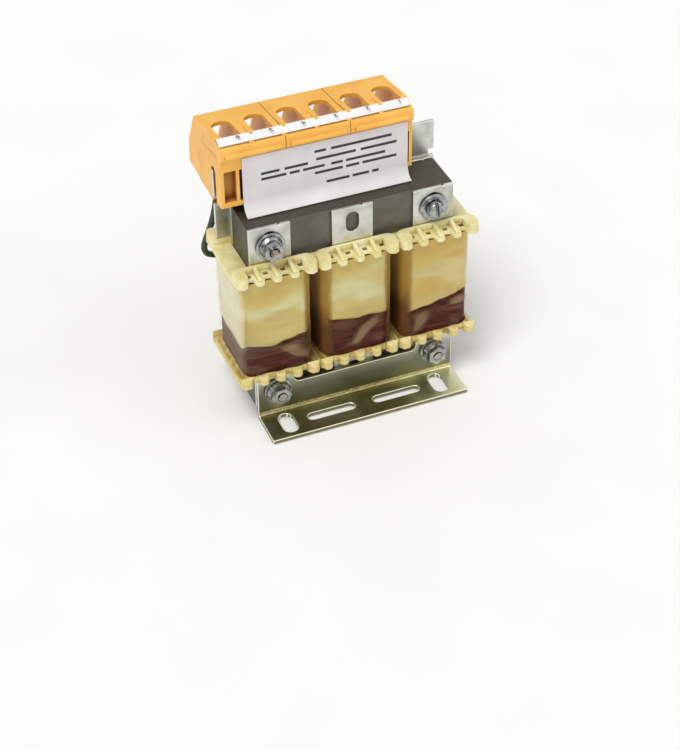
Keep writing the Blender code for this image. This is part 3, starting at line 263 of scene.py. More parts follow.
@dataclass(frozen=True)
class NaturalNylon(Finish):
    """Undyed nylon, injection moulded: cream and slightly see-through, with painted amber shade
    in its hollows and a darker yellow low down."""

    hollow: float = 2.4
    darker_below: float = 23.0    # below this height the nylon is drawn a darker yellow

    def paint(self, on: Canvas) -> None:
        """Adds warm clouds, the light that soaks into nylon, painted shade in the hollows and a darker yellow
        low down.
        """
        cloud = on.add("TexNoise", {"Scale": per(4.0), "Detail": 3.0})
        fine = on.add("TexNoise", {"Scale": per(0.5), "Detail": 3.0})
        tone = on.add("ValToRGB", (cloud,), stops=((0.3, "#E2D68A"), (0.5, "#ECE2A4"), (0.72, "#F8F1C6")))
        bump = on.add("Bump", {"Height": fine, "Strength": 0.18, "Distance": 0.12 * MM})
        # painted shade: hollows are darkened to amber
        open_air = on.add("AmbientOcclusion", {"Distance": self.hollow * MM}, samples=8, only_local=True)
        depth = on.add("MapRange", (open_air.outputs["AO"], 0.18, 0.74, 0.95, 0.0))
        height = on.add("SeparateXYZ").outputs["Z"]
        low_share = on.add("MapRange", (height, self.darker_below * MM, (self.darker_below - 4) * MM, 0.0, 0.6))
        bottom = on.add("Mix", {0: low_share, 6: tone, 7: "#CDB45E"})
        warm = on.add("Mix", {0: depth, 6: bottom, 7: "#8E7032"})
        on.surface(Base_Color=warm, Roughness=0.3, Subsurface_Weight=0.2, Subsurface_Radius=(1.0, 0.8, 0.3),
                   Subsurface_Scale=1.0 * MM, IOR=1.53, Coat_Weight=0.3, Coat_Roughness=0.1, Normal=bump)


@dataclass(frozen=True)
class CoilFinish(Finish):
    """A finish of the coils, whose sides between two limbs are painted a dark amber shade."""

    outer: float = 33.4    # beyond this distance from the middle a coil's side is open to the air

    def shut(self, on: Canvas) -> Node:
        """Gives 1 on faces that look at a neighbouring coil, and 0 on the others."""
        facing = on.facing("X")
        aside = on.add("MapRange", (on.add("Math ABSOLUTE", (facing,)), 0.2, 0.92))
        across = on.add("SeparateXYZ").outputs["X"]
        within = on.add("MapRange",
                        (on.add("Math ABSOLUTE", (across,)), self.outer * MM, (self.outer - 0.6) * MM))
        return on.add("Math MULTIPLY", (aside, within))


@dataclass(frozen=True)
class EnamelledCopper(CoilFinish):
    """Enamelled round copper wire, machine wound and soaked in varnish: dark red-brown turns
    with a wet gloss."""

    def paint(self, on: Canvas) -> None:
        """Adds darker and redder turns under the varnish."""
        stretch = on.add("Mapping", {"Scale": (per(14), per(14), per(0.9))})
        turns = on.add("TexNoise", {"Vector": stretch, "Scale": 1.0, "Detail": 3.0})
        tone = on.add("ValToRGB", (turns,), stops=((0.3, "#330F08"), (0.5, "#4A1A0D"), (0.72, "#6A2E15")))
        on.surface(Base_Color=tone, Roughness=0.5, Specular_IOR_Level=0.2, Coat_Weight=0.06,
                   Coat_Roughness=0.15)


@dataclass(frozen=True)
class YellowTape(CoilFinish):
    """Polyester tape wound over the wire and soaked in varnish: glossy straw yellow with milky
    patches where air lies under it."""

    turn: float = 0.62
    hem: float = 29.0
    head: float = 54.0

    def paint(self, on: Canvas) -> None:
        """Adds milky patches, amber stains and the faint wire turns beneath."""
        flat = on.add("Mapping", {"Scale": (1.0, 1.0, 2.0)})
        cloud = on.add("TexNoise", {"Vector": flat, "Scale": per(17.0), "Detail": 1.0, "Distortion": 0.3})
        stain = on.add("TexNoise", {"Vector": flat, "Scale": per(12.0), "Detail": 1.0, "Distortion": 0.3})
        height = on.add("SeparateXYZ").outputs["Z"]
        level = on.add("MapRange", (height, self.hem * MM, self.head * MM))
        drift = on.add("MapRange", (cloud, 0.3, 0.7, -0.2, 0.2))
        layer = on.add("Math ADD", (level, drift))
        turns = on.add("TexWave", {"Scale": bands(self.turn), "Distortion": 0.4}, bands_direction="Z")
        tone = on.add("ValToRGB", (layer,),
                      stops=((0.0, "#BFB478"), (0.14, "#BCA758"), (0.34, "#C9B66A"), (0.5, "#D4CD9A"),
                             (0.66, "#D2C88A"), (0.82, "#CCB764"), (1.0, "#C6A950")))
        east = on.add("MapRange", (on.add("SeparateXYZ").outputs["X"], 6 * MM, 14 * MM, 0.0, 0.45))
        blot = on.add("MapRange", (stain, 0.54, 0.74, 0.0, 0.5))
        amber = on.add("Math ADD", (blot, east), use_clamp=True)
        stained = on.add("Mix", {0: amber, 6: tone, 7: "#C8A244"})
        # painted shade: sides that face a neighbouring coil are painted amber
        warm = on.add("Mix", {0: self.shut(on), 6: stained, 7: "#B4842C"})
        show = on.add("MapRange", (stain, 0.42, 0.3, 0.0, 0.35))
        lines = on.add("Math MULTIPLY", (show, turns.outputs["Fac"]))
        seen = on.add("Mix", {0: lines, 6: warm, 7: "#8F7A4A"})
        bump = on.add("Bump", {"Height": turns.outputs["Fac"], "Strength": 0.06, "Distance": 0.1 * MM})
        on.surface(Base_Color=seen, Roughness=0.34, Coat_Weight=0.35, Coat_Roughness=0.12,
                   Subsurface_Weight=0.1, Subsurface_Radius=(1.0, 0.7, 0.3), Subsurface_Scale=1.0 * MM,
                   Normal=bump)


@dataclass(frozen=True)
class ClearFilm(CoilFinish):
    """Thin clear polyester film, wrapped by hand: nearly invisible, with milky creases, sharp
    gloss, painted highlight streaks on the right-hand corners, a paler look from painted light
    on the left where it stands off, and painted shade between the coils."""

    tone: str = "#DCCFA8"
    thin: float = 0.0
    milky: float = 0.05
    side_light: float = 0.0

    def paint(self, on: Canvas) -> None:
        """Adds the milky creases that make the film show, the painted light on the left and on the right-hand
        corners, and the painted shade between the coils; the attribute thins it at a patch's edge.
        """
        flat = on.add("Mapping", {"Scale": (1.0, 1.0, 1.7)})
        crease = on.add("TexNoise", {"Vector": flat, "Scale": per(9.0), "Detail": 2.0, "Distortion": 0.5})
        veil = on.add("MapRange", (crease, 0.5, 0.76, self.thin, self.milky))
        facing = on.facing("X")
        height = on.add("SeparateXYZ").outputs["Z"]
        # painted light: left-facing faces, most of all higher up, are made paler
        high = on.add("MapRange", (height, 28 * MM, 35 * MM, 0.2, 1.0))
        turned = on.add("MapRange", (facing, -0.55, -1.0, 0.0, self.side_light))
        side = on.add("Math MULTIPLY", (turned, high))
        # painted highlight: milky vertical streaks on the right-hand rounded corners
        upright = on.add("Mapping", {"Scale": (per(0.7), per(0.7), per(14))})
        streak = on.add("TexNoise", {"Vector": upright, "Scale": 1.0, "Detail": 2.0})
        corner = on.add("MapRange", (facing, 0.15, 0.7, 0.0, 1.0))
        line = on.add("MapRange", (streak, 0.54, 0.66, 0.0, 0.5))
        flank = on.add("MapRange", (facing, 0.75, 0.95, 1.0, 0.0))
        bend = on.add("Math MULTIPLY", (corner, flank))
        corner_glint = on.add("Math MULTIPLY", (bend, line))
        side_light = on.add("Math ADD", (corner_glint, side))
        both = on.add("Math ADD", (veil, side_light))
        layers = on.add("Attribute", attribute_name="cover").outputs["Fac"]
        shown = on.add("Math MULTIPLY", (both, layers))
        # painted shade between the coils: a nearly opaque layer, darker towards the bottom
        soaked = self.shut(on)
        varnish = on.add("ValToRGB", (on.add("MapRange", (height, 20 * MM, 54 * MM)),),
                         stops=((0.0, "#7A4E22"), (0.3, "#6E4A20"), (0.55, "#B48A3A"), (1.0, "#CCA850")))
        early = on.add("MapRange", (soaked, 0.0, 0.08))
        tone = on.add("Mix", {0: early, 6: self.tone, 7: varnish})
        rough = on.add("MapRange", (soaked, 0.0, 1.0, 0.2, 0.6))
        cover = on.add("Math MULTIPLY", (soaked, 0.85))
        total = on.add("Math MAXIMUM", (shown, cover))
        on.surface(Base_Color=tone, Roughness=rough, Specular_IOR_Level=0.3, Alpha=total)


@dataclass(frozen=True)
class AmberResin(Finish):
    """Impregnating resin that ran down and set: clear amber with a wet gloss."""

    def paint(self, on: Canvas) -> None:
        """Adds uneven depth of colour."""
        cloud = on.add("TexNoise", {"Scale": per(2.5), "Detail": 3.0})
        tone = on.add("ValToRGB", (cloud,), stops=((0.3, "#94772E"), (0.5, "#B89C4A"), (0.7, "#D6C684")))
        bump = on.add("Bump", {"Height": cloud, "Strength": 0.5, "Distance": 0.3 * MM})
        on.surface(Base_Color=tone, Roughness=0.14, Subsurface_Weight=0.4, Subsurface_Radius=(1.0, 0.8, 0.3),
                   Subsurface_Scale=0.5 * MM, Normal=bump)


@dataclass(frozen=True)
class BrightZinc(Finish):
    """Cold-headed steel fasteners with bright zinc: a mirror-like silver with small scuffs, and
    painted shade in the hollows."""

    tones: tuple[str, str] = ("#7F8182", "#B4B6B6")
    hollow: float = 1.2

    def paint(self, on: Canvas) -> None:
        """Adds scuffs to the gloss and painted shade in the hollows."""
        scuff = on.add("TexNoise", {"Scale": per(1.2), "Detail": 5.0})
        tone = on.add("ValToRGB", (scuff,), stops=((0.3, self.tones[0]), (0.6, self.tones[1])))
        rough = on.add("MapRange", (scuff, 0.0, 1.0, 0.1, 0.3))
        # painted shade: hollows are darkened almost to black
        open_air = on.add("AmbientOcclusion", {"Distance": self.hollow * MM}, samples=8)
        depth = on.add("MapRange", (open_air.outputs["AO"], 0.25, 0.8, 0.85, 0.0))
        hollows_shaded = on.add("Mix", {0: depth, 6: tone, 7: "#2E2C28"})
        on.surface(Base_Color=hollows_shaded, Roughness=rough, Metallic=1.0)


@dataclass(frozen=True)
class OrangePolyamide(Finish):
    """Orange polyamide, injection moulded: satin, with a very fine spark-eroded grain, and painted
    red shade in hollows, where light only comes through the plastic."""

    hollow: float = 6.0

    def paint(self, on: Canvas) -> None:
        """Adds the grain, a slight drift of colour and painted shade in the hollows."""
        cloud = on.add("TexNoise", {"Scale": per(9.0), "Detail": 2.0})
        grain = on.add("TexNoise", {"Scale": per(0.3), "Detail": 2.0})
        tone = on.add("ValToRGB", (cloud,), stops=((0.35, "#F5B244"), (0.65, "#FBC057")))
        bump = on.add("Bump", {"Height": grain, "Strength": 0.15, "Distance": 0.05 * MM})
        # painted shade: hollows are darkened to deep red-brown
        open_air = on.add("AmbientOcclusion", {"Distance": self.hollow * MM}, samples=8)
        depth = on.add("MapRange", (open_air.outputs["AO"], 0.2, 0.75, 1.0, 0.0))
        deep = on.add("Mix", {0: depth, 6: tone, 7: "#8E3E0C"})
        on.surface(Base_Color=deep, Roughness=0.46, Subsurface_Weight=0.12,
                   Subsurface_Radius=(1.0, 0.5, 0.15), Subsurface_Scale=1.0 * MM, IOR=1.53, Normal=bump)


@dataclass(frozen=True)
class Speckled(Finish):
    """A plain material whose colour drifts a little between two tones."""

    grain: float
    detail: float
    tones: tuple[str, str]
    rough: float
    spread: tuple[float, float] = (0.3, 0.7)

    def paint(self, on: Canvas) -> None:
        """Adds the drift of colour."""
        cloud = on.add("TexNoise", {"Scale": per(self.grain), "Detail": self.detail})
        tone = on.add("ValToRGB", (cloud,), stops=tuple(zip(self.spread, self.tones)))
        on.surface(Base_Color=tone, Roughness=self.rough)


@dataclass(frozen=True)
class LabelPaper(Finish):
    """Printed self-adhesive paper label, coated: soft white with a faint satin gloss."""

    def paint(self, on: Canvas) -> None:
        """Adds paper fibre and a slight waviness."""
        fibre = on.add("TexNoise", {"Scale": per(0.4), "Detail": 4.0})
        wave = on.add("TexNoise", {"Scale": per(9.0), "Detail": 1.0})
        tone = on.add("ValToRGB", (wave,), stops=((0.3, "#DDD7D8"), (0.7, "#E8E3E4")))
        first = on.add("Bump", {"Height": wave, "Strength": 0.25, "Distance": 0.6 * MM})
        bump = on.add("Bump", {"Height": fibre, "Strength": 0.05, "Distance": 0.05 * MM, "Normal": first})
        on.surface(Base_Color=tone, Roughness=0.46, Normal=bump)


class Finishes(Enum):
    """The finishes, by the part that wears them."""

    CORE = VarnishedCoreSteel("varnished_silicon_steel", "varnished_core_steel")
    STRAP = ZincPlate("clear_zinc_plated_steel", "zinc_plate")
    FOOT = OliveZincPlate("yellow_zinc_plated_steel", "olive_zinc_plate")
    BOBBIN = NaturalNylon("moulded_natural_nylon", "natural_nylon")
    WIRE = EnamelledCopper("varnished_copper_wire", "enamelled_copper")
    TAPE = YellowTape("varnished_polyester_tape", "yellow_tape")
    FILM = ClearFilm("clear_polyester_film", "clear_film")
    # film of the coil whose film stands off: pale tone, with painted light on its left faces
    SIDE_LIT_FILM = ClearFilm("side_lit_polyester_film", "clear_film", tone="#F0EBCB", side_light=0.28)
    FOLD = ClearFilm("folded_polyester_film", "clear_film", tone="#A88864", thin=0.34, milky=0.8)
    RESIN = AmberResin("amber_varnish_resin", "clear_film")
    FASTENER = BrightZinc("bright_zinc_steel", "bright_zinc_fastener")
    # the thread: warmer zinc, with painted shade in its grooves
    THREAD = BrightZinc("shaded_zinc_thread", "bright_zinc_fastener", ("#8C877C", "#B8B3A8"), 0.7)
    BLOCK = OrangePolyamide("orange_polyamide", "orange_terminal_plastic")
    STRIP = Speckled("white_strip_plastic", "white_strip_plastic", 3.0, 3.0, ("#ECEBEA", "#F6F5F4"), 0.4)
    LABEL = LabelPaper("coated_label_paper", "label_paper")
    INK = Speckled("print_ink", "label_paper", 0.3, 2.0, ("#26262A", "#424246"), 0.6, (0.3, 0.75))
    LEAD = Speckled("dark_green_lead_sleeve", "dark_green_sleeve", 2.0, 4.0, ("#253023", "#3C4A38"), 0.38)
    CARD = Speckled("pressed_fibre_card", "gap_card", 0.6, 5.0, ("#7A5A36", "#9C7A4E"), 0.75)
    FLOOR = Speckled("pale_studio_paper", "", 40.0, 2.0, ("#F8F8F7", "#FBFBFA"), 0.9)


def box(node: str) -> tuple[Vector, Vector]:
    """Gives the low and high corner of a CAD node in millimetres."""
    low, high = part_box(node)
    return low / MM, high / MM


def merged(node: str) -> BMesh:
    """Copies a CAD node's mesh, joins its loose triangles and clears flat edges."""
    made = bmesh.new()
    made.from_mesh(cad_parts[node].data)
    bmesh.ops.remove_doubles(made, verts=made.verts, dist=0.005 * MM)
    bmesh.ops.dissolve_limit(made, angle_limit=math.radians(0.6), verts=made.verts, edges=made.edges)
    return made


def bevel(made: BMesh, geometry: Sequence, width: float, segments: int, affect: str = "EDGES",
          clamp: bool = False) -> list:
    """Rounds edges or corners.

    Args:
        made: Mesh in metres.
        geometry: What is rounded.
        width: Width of the rounding in millimetres.
        segments: Steps of the rounding.
        affect: "EDGES" or "VERTICES".
        clamp: Whether roundings that would overlap are made narrower.

    Returns:
        The faces of the rounding.
    """
    return bmesh.ops.bevel(made, geom=geometry, offset=width * MM, offset_type="OFFSET", affect=affect,
                           segments=segments, profile=0.5, material=-1, clamp_overlap=clamp)["faces"]


def cut(made: BMesh, point: Vector, normal: Vector, clear: bool = False) -> list[BMEdge]:
    """Cuts a mesh by a plane.

    Args:
        made: Mesh in metres.
        point: A point of the plane, in millimetres.
        normal: Direction that the plane faces.
        clear: Whether what lies beyond the plane is taken off.

    Returns:
        The edges along the cut.
    """
    whole = made.verts[:] + made.edges[:] + made.faces[:]
    done = bmesh.ops.bisect_plane(made, geom=whole, dist=1e-7, plane_co=point * MM, plane_no=normal,
                                  clear_outer=clear)
    return [g for g in done["geom_cut"] if isinstance(g, BMEdge)]


def softened(node: str, width: float, sharp: float = 30.0) -> BMesh:
    """Copies a CAD node with its hard edges rounded, and the roundings marked in a face layer that the zinc
    finishes paint as a highlight.

    Args:
        node: Name of the CAD node.
        width: Width of the rounding in millimetres.
        sharp: Edges that turn more than this many degrees are rounded.

    Returns:
        The rounded copy.
    """
    made = merged(node)
    edges = [e for e in made.edges if e.is_manifold and e.calc_face_angle(0.0) > math.radians(sharp)]
    edge_highlight = made.faces.layers.float.new("edge_highlight")
    for face in bevel(made, edges, width, 2, clamp=True):
        face[edge_highlight] = 1.0
    return made


def joined(parts: Sequence[BMesh]) -> BMesh:
    """Puts several meshes in one and frees them."""
    whole = bmesh.new()
    for part in parts:
        carrier = bpy.data.meshes.new("part")
        part.to_mesh(carrier)
        part.free()
        whole.from_mesh(carrier)
        bpy.data.meshes.remove(carrier)
    return whole


class SubAssembly:
    """Steps that all sub-assemblies share."""

    def build(self) -> None:
        """Makes and dresses the pieces."""
        raise NotImplementedError

    def deliver(self, made: BMesh, name: str, finish: Finishes, replaced: Sequence[str] = (),
                crease: float = 38.0, recalculated: bool = True) -> Object:
        """Turns a mesh into a finished piece on the root body.

        Args:
            made: Mesh in metres, in the reactor's frame; it is freed.
            name: Name of the piece.
            finish: Its finish.
            replaced: CAD nodes that the piece stands for.
            crease: Edges that turn more than this many degrees stay crisp.
            recalculated: Whether the faces are turned outwards first.

        Returns:
            The piece.
        """
        if recalculated:
            bmesh.ops.recalc_face_normals(made, faces=made.faces)
        mesh = bpy.data.meshes.new(name)
        made.to_mesh(mesh)
        made.free()
        mesh.shade_smooth()
        mesh.set_sharp_from_angle(angle=math.radians(crease))
        piece = bpy.data.objects.new(name, mesh)
        bpy.context.scene.collection.objects.link(piece)
        mesh.materials.append(finish.value.material())
        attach(piece, "root")
        if replaced:
            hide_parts(*replaced)
        LOG.info("%s: %d faces, %s", name, len(mesh.polygons), finish.value.name)
        return piece

    def even(self, piece: Object) -> None:
        """Keeps broad faces flat in the shading beside their rounded edges."""
        piece.modifiers.new("even_normals", "WEIGHTED_NORMAL").keep_sharp = True

    def wall(self, piece: Object, thickness: float, offset: float = -1.0, name: str = "wall") -> None:
        """Gives a skin its thickness in millimetres, inwards or with offset 0 to both sides."""
        solid = piece.modifiers.new(name, "SOLIDIFY")
        solid.thickness, solid.offset = thickness * MM, offset

    def soften(self, nodes: Sequence[str], suffix: str, width: float, finish: Finishes) -> None:
        """Replaces CAD nodes by copies with rounded edges.

        Args:
            nodes: Names of the CAD nodes.
            suffix: Word added to each piece's name.
            width: Width of the rounding in millimetres.
            finish: Finish of the pieces.
        """
        for node in nodes:
            piece = self.deliver(softened(node, width), f"{node}_{suffix}", finish, (node,))
            self.even(piece)

    def dress(self, nodes: Sequence[str], finish: Finishes) -> None:
        """Gives CAD nodes whose shape is right their finish."""
        for node in nodes:
            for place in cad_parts[node].material_slots:
                place.material = finish.value.material()
            LOG.info("%s: CAD shape kept, %s", node, finish.value.name)


def numbered(stem: str, count: int) -> list[str]:
    """Names from stem_1 to stem_count."""
    return [f"{stem}_{i}" for i in range(1, count + 1)]


@dataclass
class Core(SubAssembly):
    """Stacked E sheets, the yoke above them and the card in the gaps."""

    gaps: int = 3

    def build(self) -> None:
        """Dresses the CAD solids of the core."""
        self.dress(("core_e_stack", "core_i_yoke"), Finishes.CORE)
        self.dress(numbered("gap_card", self.gaps), Finishes.CARD)


@dataclass
class Metalwork(SubAssembly):
    """Clamping straps, feet and terminal carrier of bent strip."""

    strap_edge: float = 0.12
    foot_edge: float = 0.25

    def build(self) -> None:
        """Rounds the sheared edges so that they catch the light."""
        straps = numbered("clamp_strap_front", 3) + numbered("clamp_strap_rear", 3)
        self.soften([*straps, "terminal_carrier"], "sheared", self.strap_edge, Finishes.STRAP)
        self.soften(("foot_front", "foot_rear"), "bent", self.foot_edge, Finishes.FOOT)


@dataclass
class Bobbins(SubAssembly):
    """Three moulded bobbins with their combs, whose corners varnish has rounded."""

    edge: float = 0.28
    comb_start: float = 13.1     # the combs start this far from the limb's middle
    lower_top: float = 21.2
    upper_floor: float = 52.0
    longest: float = 0.7         # longer edges of a comb are cut before it is smoothed

    def flow(self, made: BMesh, inside: Callable[[Vector], bool], passes: int) -> None:
        """Rounds one region as set varnish does.

        Args:
            made: Mesh of the bobbin.
            inside: Tells whether a point in millimetres lies in the region.
            passes: Steps of smoothing.
        """
        near = [f for f in made.faces if any(inside(v.co / MM) for v in f.verts)]
        bmesh.ops.triangulate(made, faces=near)
        for _ in range(2):
            long = [e for e in made.edges if e.calc_length() > self.longest * MM
                    and all(inside(v.co / MM) for v in e.verts)]
            bmesh.ops.subdivide_edges(made, edges=long, cuts=1)
            bmesh.ops.triangulate(made, faces=[f for f in made.faces if len(f.verts) > 3])
        for _ in range(passes):
            bmesh.ops.smooth_vert(made, verts=[v for v in made.verts if inside(v.co / MM)], factor=0.5,
                                  use_axis_x=True, use_axis_y=True, use_axis_z=True)

    def build(self) -> None:
        """Rounds the moulded edges, and the lower combs most."""
        for node in numbered("bobbin", 3):
            low, high = box(node)
            middle = (low.y + high.y) / 2
            made = softened(node, self.edge, 40)
            self.flow(made, lambda p: p.z < self.lower_top and abs(p.y - middle) > self.comb_start, 9)
            self.flow(made, lambda p: p.z > self.upper_floor and abs(p.y - middle) > self.comb_start, 1)
            self.deliver(made, f"{node}_moulded", Finishes.BOBBIN, (node,), 60)


@dataclass
class Sleeve:
    """A rounded-rectangle tube round one limb, that may wave and bulge."""

    centre_x: float
    centre_y: float
    width: float
    depth: float
    radius: float
    corner_steps: int = 8
    side_cuts: int = 29

    def outline(self) -> BMesh:
        """Makes the closed outline, centred on the limb at height zero."""
        made = bmesh.new()
        bmesh.ops.create_grid(made, x_segments=1, y_segments=1, size=0.5)
        bmesh.ops.scale(made, vec=(self.width * MM, self.depth * MM, 1), verts=made.verts)
        bevel(made, made.verts[:], self.radius, self.corner_steps, "VERTICES")
        sides = [e for e in made.edges if e.calc_length() > self.radius * 1.5 * MM]
        bmesh.ops.subdivide_edges(made, edges=sides, cuts=self.side_cuts)
        bmesh.ops.delete(made, geom=made.faces[:], context="FACES_ONLY")
        return made

    def outward(self, place: Vector) -> Vector:
        """Direction away from the limb, square to the sleeve, at a point of its outline."""
        reach_x = (self.width / 2 - self.radius) * MM
        reach_y = (self.depth / 2 - self.radius) * MM
        inner = Vector((min(max(place.x, -reach_x), reach_x), min(max(place.y, -reach_y), reach_y), 0))
        return (Vector((place.x, place.y, 0)) - inner).normalized()

    def skin(self, levels: Sequence[tuple[float, float]],
             shape: Callable[[Vector, Vector], Vector] | None = None) -> BMesh:
        """Raises the outline through several levels.

        Args:
            levels: Height and outward offset of each ring, in millimetres.
            shape: Gives a point's new place from its place in metres and its outward direction.

        Returns:
            The open skin.
        """
        made = self.outline()
        lap = made.edges[:]
        start = {v: v.co.copy() for v in made.verts}
        plan = dict(start)
        rings = [(list(start), *levels[0])]
        for height, offset in levels[1:]:
            before = {v: plan[v] for v in rings[-1][0]}
            grown = bmesh.ops.extrude_edge_only(made, edges=lap)["geom"]
            fresh = [g for g in grown if isinstance(g, BMVert)]
            lap = [g for g in grown if isinstance(g, BMEdge)]
            lap = [e for e in lap if all(v in set(fresh) for v in e.verts)]
            for vert in fresh:
                twin = next(e.other_vert(vert) for e in vert.link_edges if e.other_vert(vert) in before)
                plan[vert] = before[twin]
            rings.append((fresh, height, offset))
        middle = Vector((self.centre_x * MM, self.centre_y * MM, 0))
        for ring, height, offset in rings:
            for vert in ring:
                away = self.outward(plan[vert])
                point = middle + plan[vert] + away * offset * MM + Vector((0, 0, height * MM))
                vert.co = shape(point, away) if shape else point
        return made


@dataclass
class Coil(SubAssembly):
    """One winding with its tape, film and resin."""

    number: int
    hem: tuple[tuple[float, float], ...]    # distance across the front and height of the tape's lower edge
    bulge: float = 0.0                      # how far the film stands off on the left
    folds: tuple[tuple[tuple[float, float], ...], ...] = ()    # corners of each doubled patch of film
    wire_pitch: float = 0.62
    ring_step: float = 0.55
    top: float = 54.1
    open_side: float = -34.0     # left of this the coil's side is free
    fold_limit: float = 9.4      # folds stay on the flat front
    wire_wall: float = 0.9
    tape_wall: float = 0.22
    film_wall: float = 0.05
    fold_wall: float = 0.03

    def __post_init__(self) -> None:
        """Reads the coil's place from the CAD."""
        low, high = box(f"winding_{self.number}")
        self.middle = (low + high) / 2
        self.size = high - low
        self.floor = low.z

    def sleeve(self, proud: float, radius: float = 3.0) -> Sleeve:
        """Sleeve that stands proud millimetres outside the wire."""
        return Sleeve(self.middle.x, self.middle.y, self.size.x + 2 * proud, self.size.y + 2 * proud,
                      radius + proud)

    def hem_height(self, across: float) -> float:
        """Height of the tape's lower edge at a distance across the front."""
        points = self.hem
        if across <= points[0][0]:
            return points[0][1]
        for (x0, z0), (x1, z1) in zip(points, points[1:]):
            if across <= x1:
                share = (across - x0) / (x1 - x0)
                return z0 + (z1 - z0) * (share * share * (3 - 2 * share))
        return points[-1][1]

    def ripple(self, point: Vector, size: float, seed: float) -> float:
        """Smooth random value from -1 to 1 with features of about size millimetres."""
        return noise.noise(point / (size * MM) + Vector((seed, self.number * 7.3, seed * 0.5)))

    def levels(self, bottom: float) -> list[tuple[float, float]]:
        """Even rings from a height in millimetres up to the coil's top."""
        steps = int((self.top - bottom) / self.ring_step)
        return [(bottom + (self.top - bottom) * i / steps, 0.0) for i in range(steps + 1)]

    def wire(self) -> None:
        """Winds the visible turns as a skin with one ridge per turn."""
        rows = int((self.top - self.floor) / self.wire_pitch)
        levels = []
        for row in range(rows):
            start = self.floor + row * self.wire_pitch
            levels += [(start, -0.16), (start + 0.2, -0.02), (start + 0.42, -0.02)]
        levels.append((self.top, -0.16))
        piece = self.deliver(self.sleeve(0.0).skin(levels), f"copper_turns_{self.number}", Finishes.WIRE,
                             (f"winding_{self.number}",), crease=75)
        self.wall(piece, self.wire_wall)

    def tape(self) -> None:
        """Wraps the yellow tape, with its uneven lower edge and slack places."""
        lowest = min(height for _, height in self.hem)

        def shape(point: Vector, away: Vector) -> Vector:
            """Lifts the lower edge and adds slack."""
            start = self.hem_height(point.x / MM - self.middle.x) + 0.5 * self.ripple(point, 4.0, 3.1)
            share = (point.z / MM - lowest) / (self.top - lowest)
            height = start + (self.top - start) * share
            slack = 0.16 * self.ripple(Vector((point.x, point.y, height * MM)), 6.0, 1.7)
            slack += 0.05 * math.sin(height * 2.1 + 3 * self.ripple(point, 9.0, 8.2))
            if abs(away.x) > 0.9 and point.x / MM > self.open_side:
                slack *= 0.1
            point = point + away * slack * MM
            point.z = height * MM
            return point

        made = self.sleeve(0.3).skin(self.levels(lowest), shape)
        piece = self.deliver(made, f"tape_turns_{self.number}", Finishes.TAPE,
                             (f"tape_wrap_{self.number}",), crease=75)
        self.wall(piece, self.tape_wall)

    def film(self) -> None:
        """Wraps the clear film loosely over tape and wire."""

        def shape(point: Vector, away: Vector) -> Vector:
            """Adds creases and, on the left, the place where the film stands off."""
            crease = abs(self.ripple(Vector((point.x, point.y, point.z * 0.45)), 3.2, 5.5))
            slack = 0.42 * (1 - crease) * (0.6 + 0.4 * self.ripple(point, 8.0, 2.2))
            if self.bulge and away.x < 0:
                rise = math.sin(math.pi * min(max((point.z / MM - 21) / 33, 0), 1)) ** 0.7
                slack += self.bulge * rise * -away.x
            return point + away * slack * MM

        made = self.sleeve(0.5).skin(self.levels(self.floor + 0.7), shape)
        cover = made.verts.layers.float.new("cover")
        for vert in made.verts:
            vert[cover] = 1.0
        finish = Finishes.SIDE_LIT_FILM if self.bulge else Finishes.FILM
        piece = self.deliver(made, f"film_wrap_{self.number}", finish, (f"clear_film_{self.number}",), 75)
        self.wall(piece, self.film_wall)

    def fold(self, number: int, corners: Sequence[tuple[float, float]]) -> None:
        """Lays a doubled, milky patch of film on the front.

        Args:
            number: Number of the patch.
            corners: Distance across and height of its four corners, in order round it.
        """
        made = bmesh.new()
        bmesh.ops.create_grid(made, x_segments=24, y_segments=24, size=0.5)
        face = (self.middle.y - self.size.y / 2 - 0.5) * MM
        cover = made.verts.layers.float.new("cover")
        for vert in made.verts:
            u, v = vert.co.x + 0.5, vert.co.y + 0.5
            inset = min(1.0, 2.4 * min(u, 1 - u)) * min(1.0, 3.2 * min(v, 1 - v))
            vert[cover] = inset * inset * (3 - 2 * inset)
            (ax, az), (bx, bz), (cx, cz), (dx, dz) = corners
            x = (1 - v) * ((1 - u) * ax + u * bx) + v * ((1 - u) * dx + u * cx)
            z = (1 - v) * ((1 - u) * az + u * bz) + v * ((1 - u) * dz + u * cz)
            place = Vector(((x + self.middle.x) * MM, face, z * MM))
            puff = 0.5 * math.sin(math.pi * u) ** 0.5 * math.sin(math.pi * v) ** 0.5
            wave = 0.12 * self.ripple(place, 2.5, 4.4) + 0.3 * self.ripple(place, 6.0, 6.6)
            place.x += (0.9 * self.ripple(place, 5.0, 12.0) + 0.9 * math.sin(math.pi * v)) * MM
            place.x = min(place.x, (self.middle.x + self.fold_limit) * MM)
            place.z += 0.9 * self.ripple(place, 5.0, 14.0) * MM
            place.y -= max(0.45 + puff * 0.5 + wave * 0.5, 0.42) * MM
            vert.co = place
        bmesh.ops.reverse_faces(made, faces=made.faces[:])
        piece = self.deliver(made, f"film_fold_{self.number}_{number}", Finishes.FOLD, crease=80,
                             recalculated=False)
        self.wall(piece, self.fold_wall)

    def resin(self) -> None:
        """Lays the bead of set resin round the foot of the coil."""
        rings = ((0.25, 0.5), (0.05, 0.95), (0.25, 1.1), (0.7, 0.95), (1.2, 0.6), (1.6, 0.3), (1.9, 0.1),
                 (1.8, -0.2), (0.4, -0.3))
        foot = self.floor - 0.35

        def shape(point: Vector, away: Vector) -> Vector:
            """Makes the bead thicker in some places than in others."""
            full = 0.75 + 0.35 * self.ripple(Vector((point.x, point.y, 0)), 3.4, 9.4)
            point = point - away * (1 - full) * 0.9 * MM
            point.z = foot * MM + (point.z - foot * MM) * full
            return point

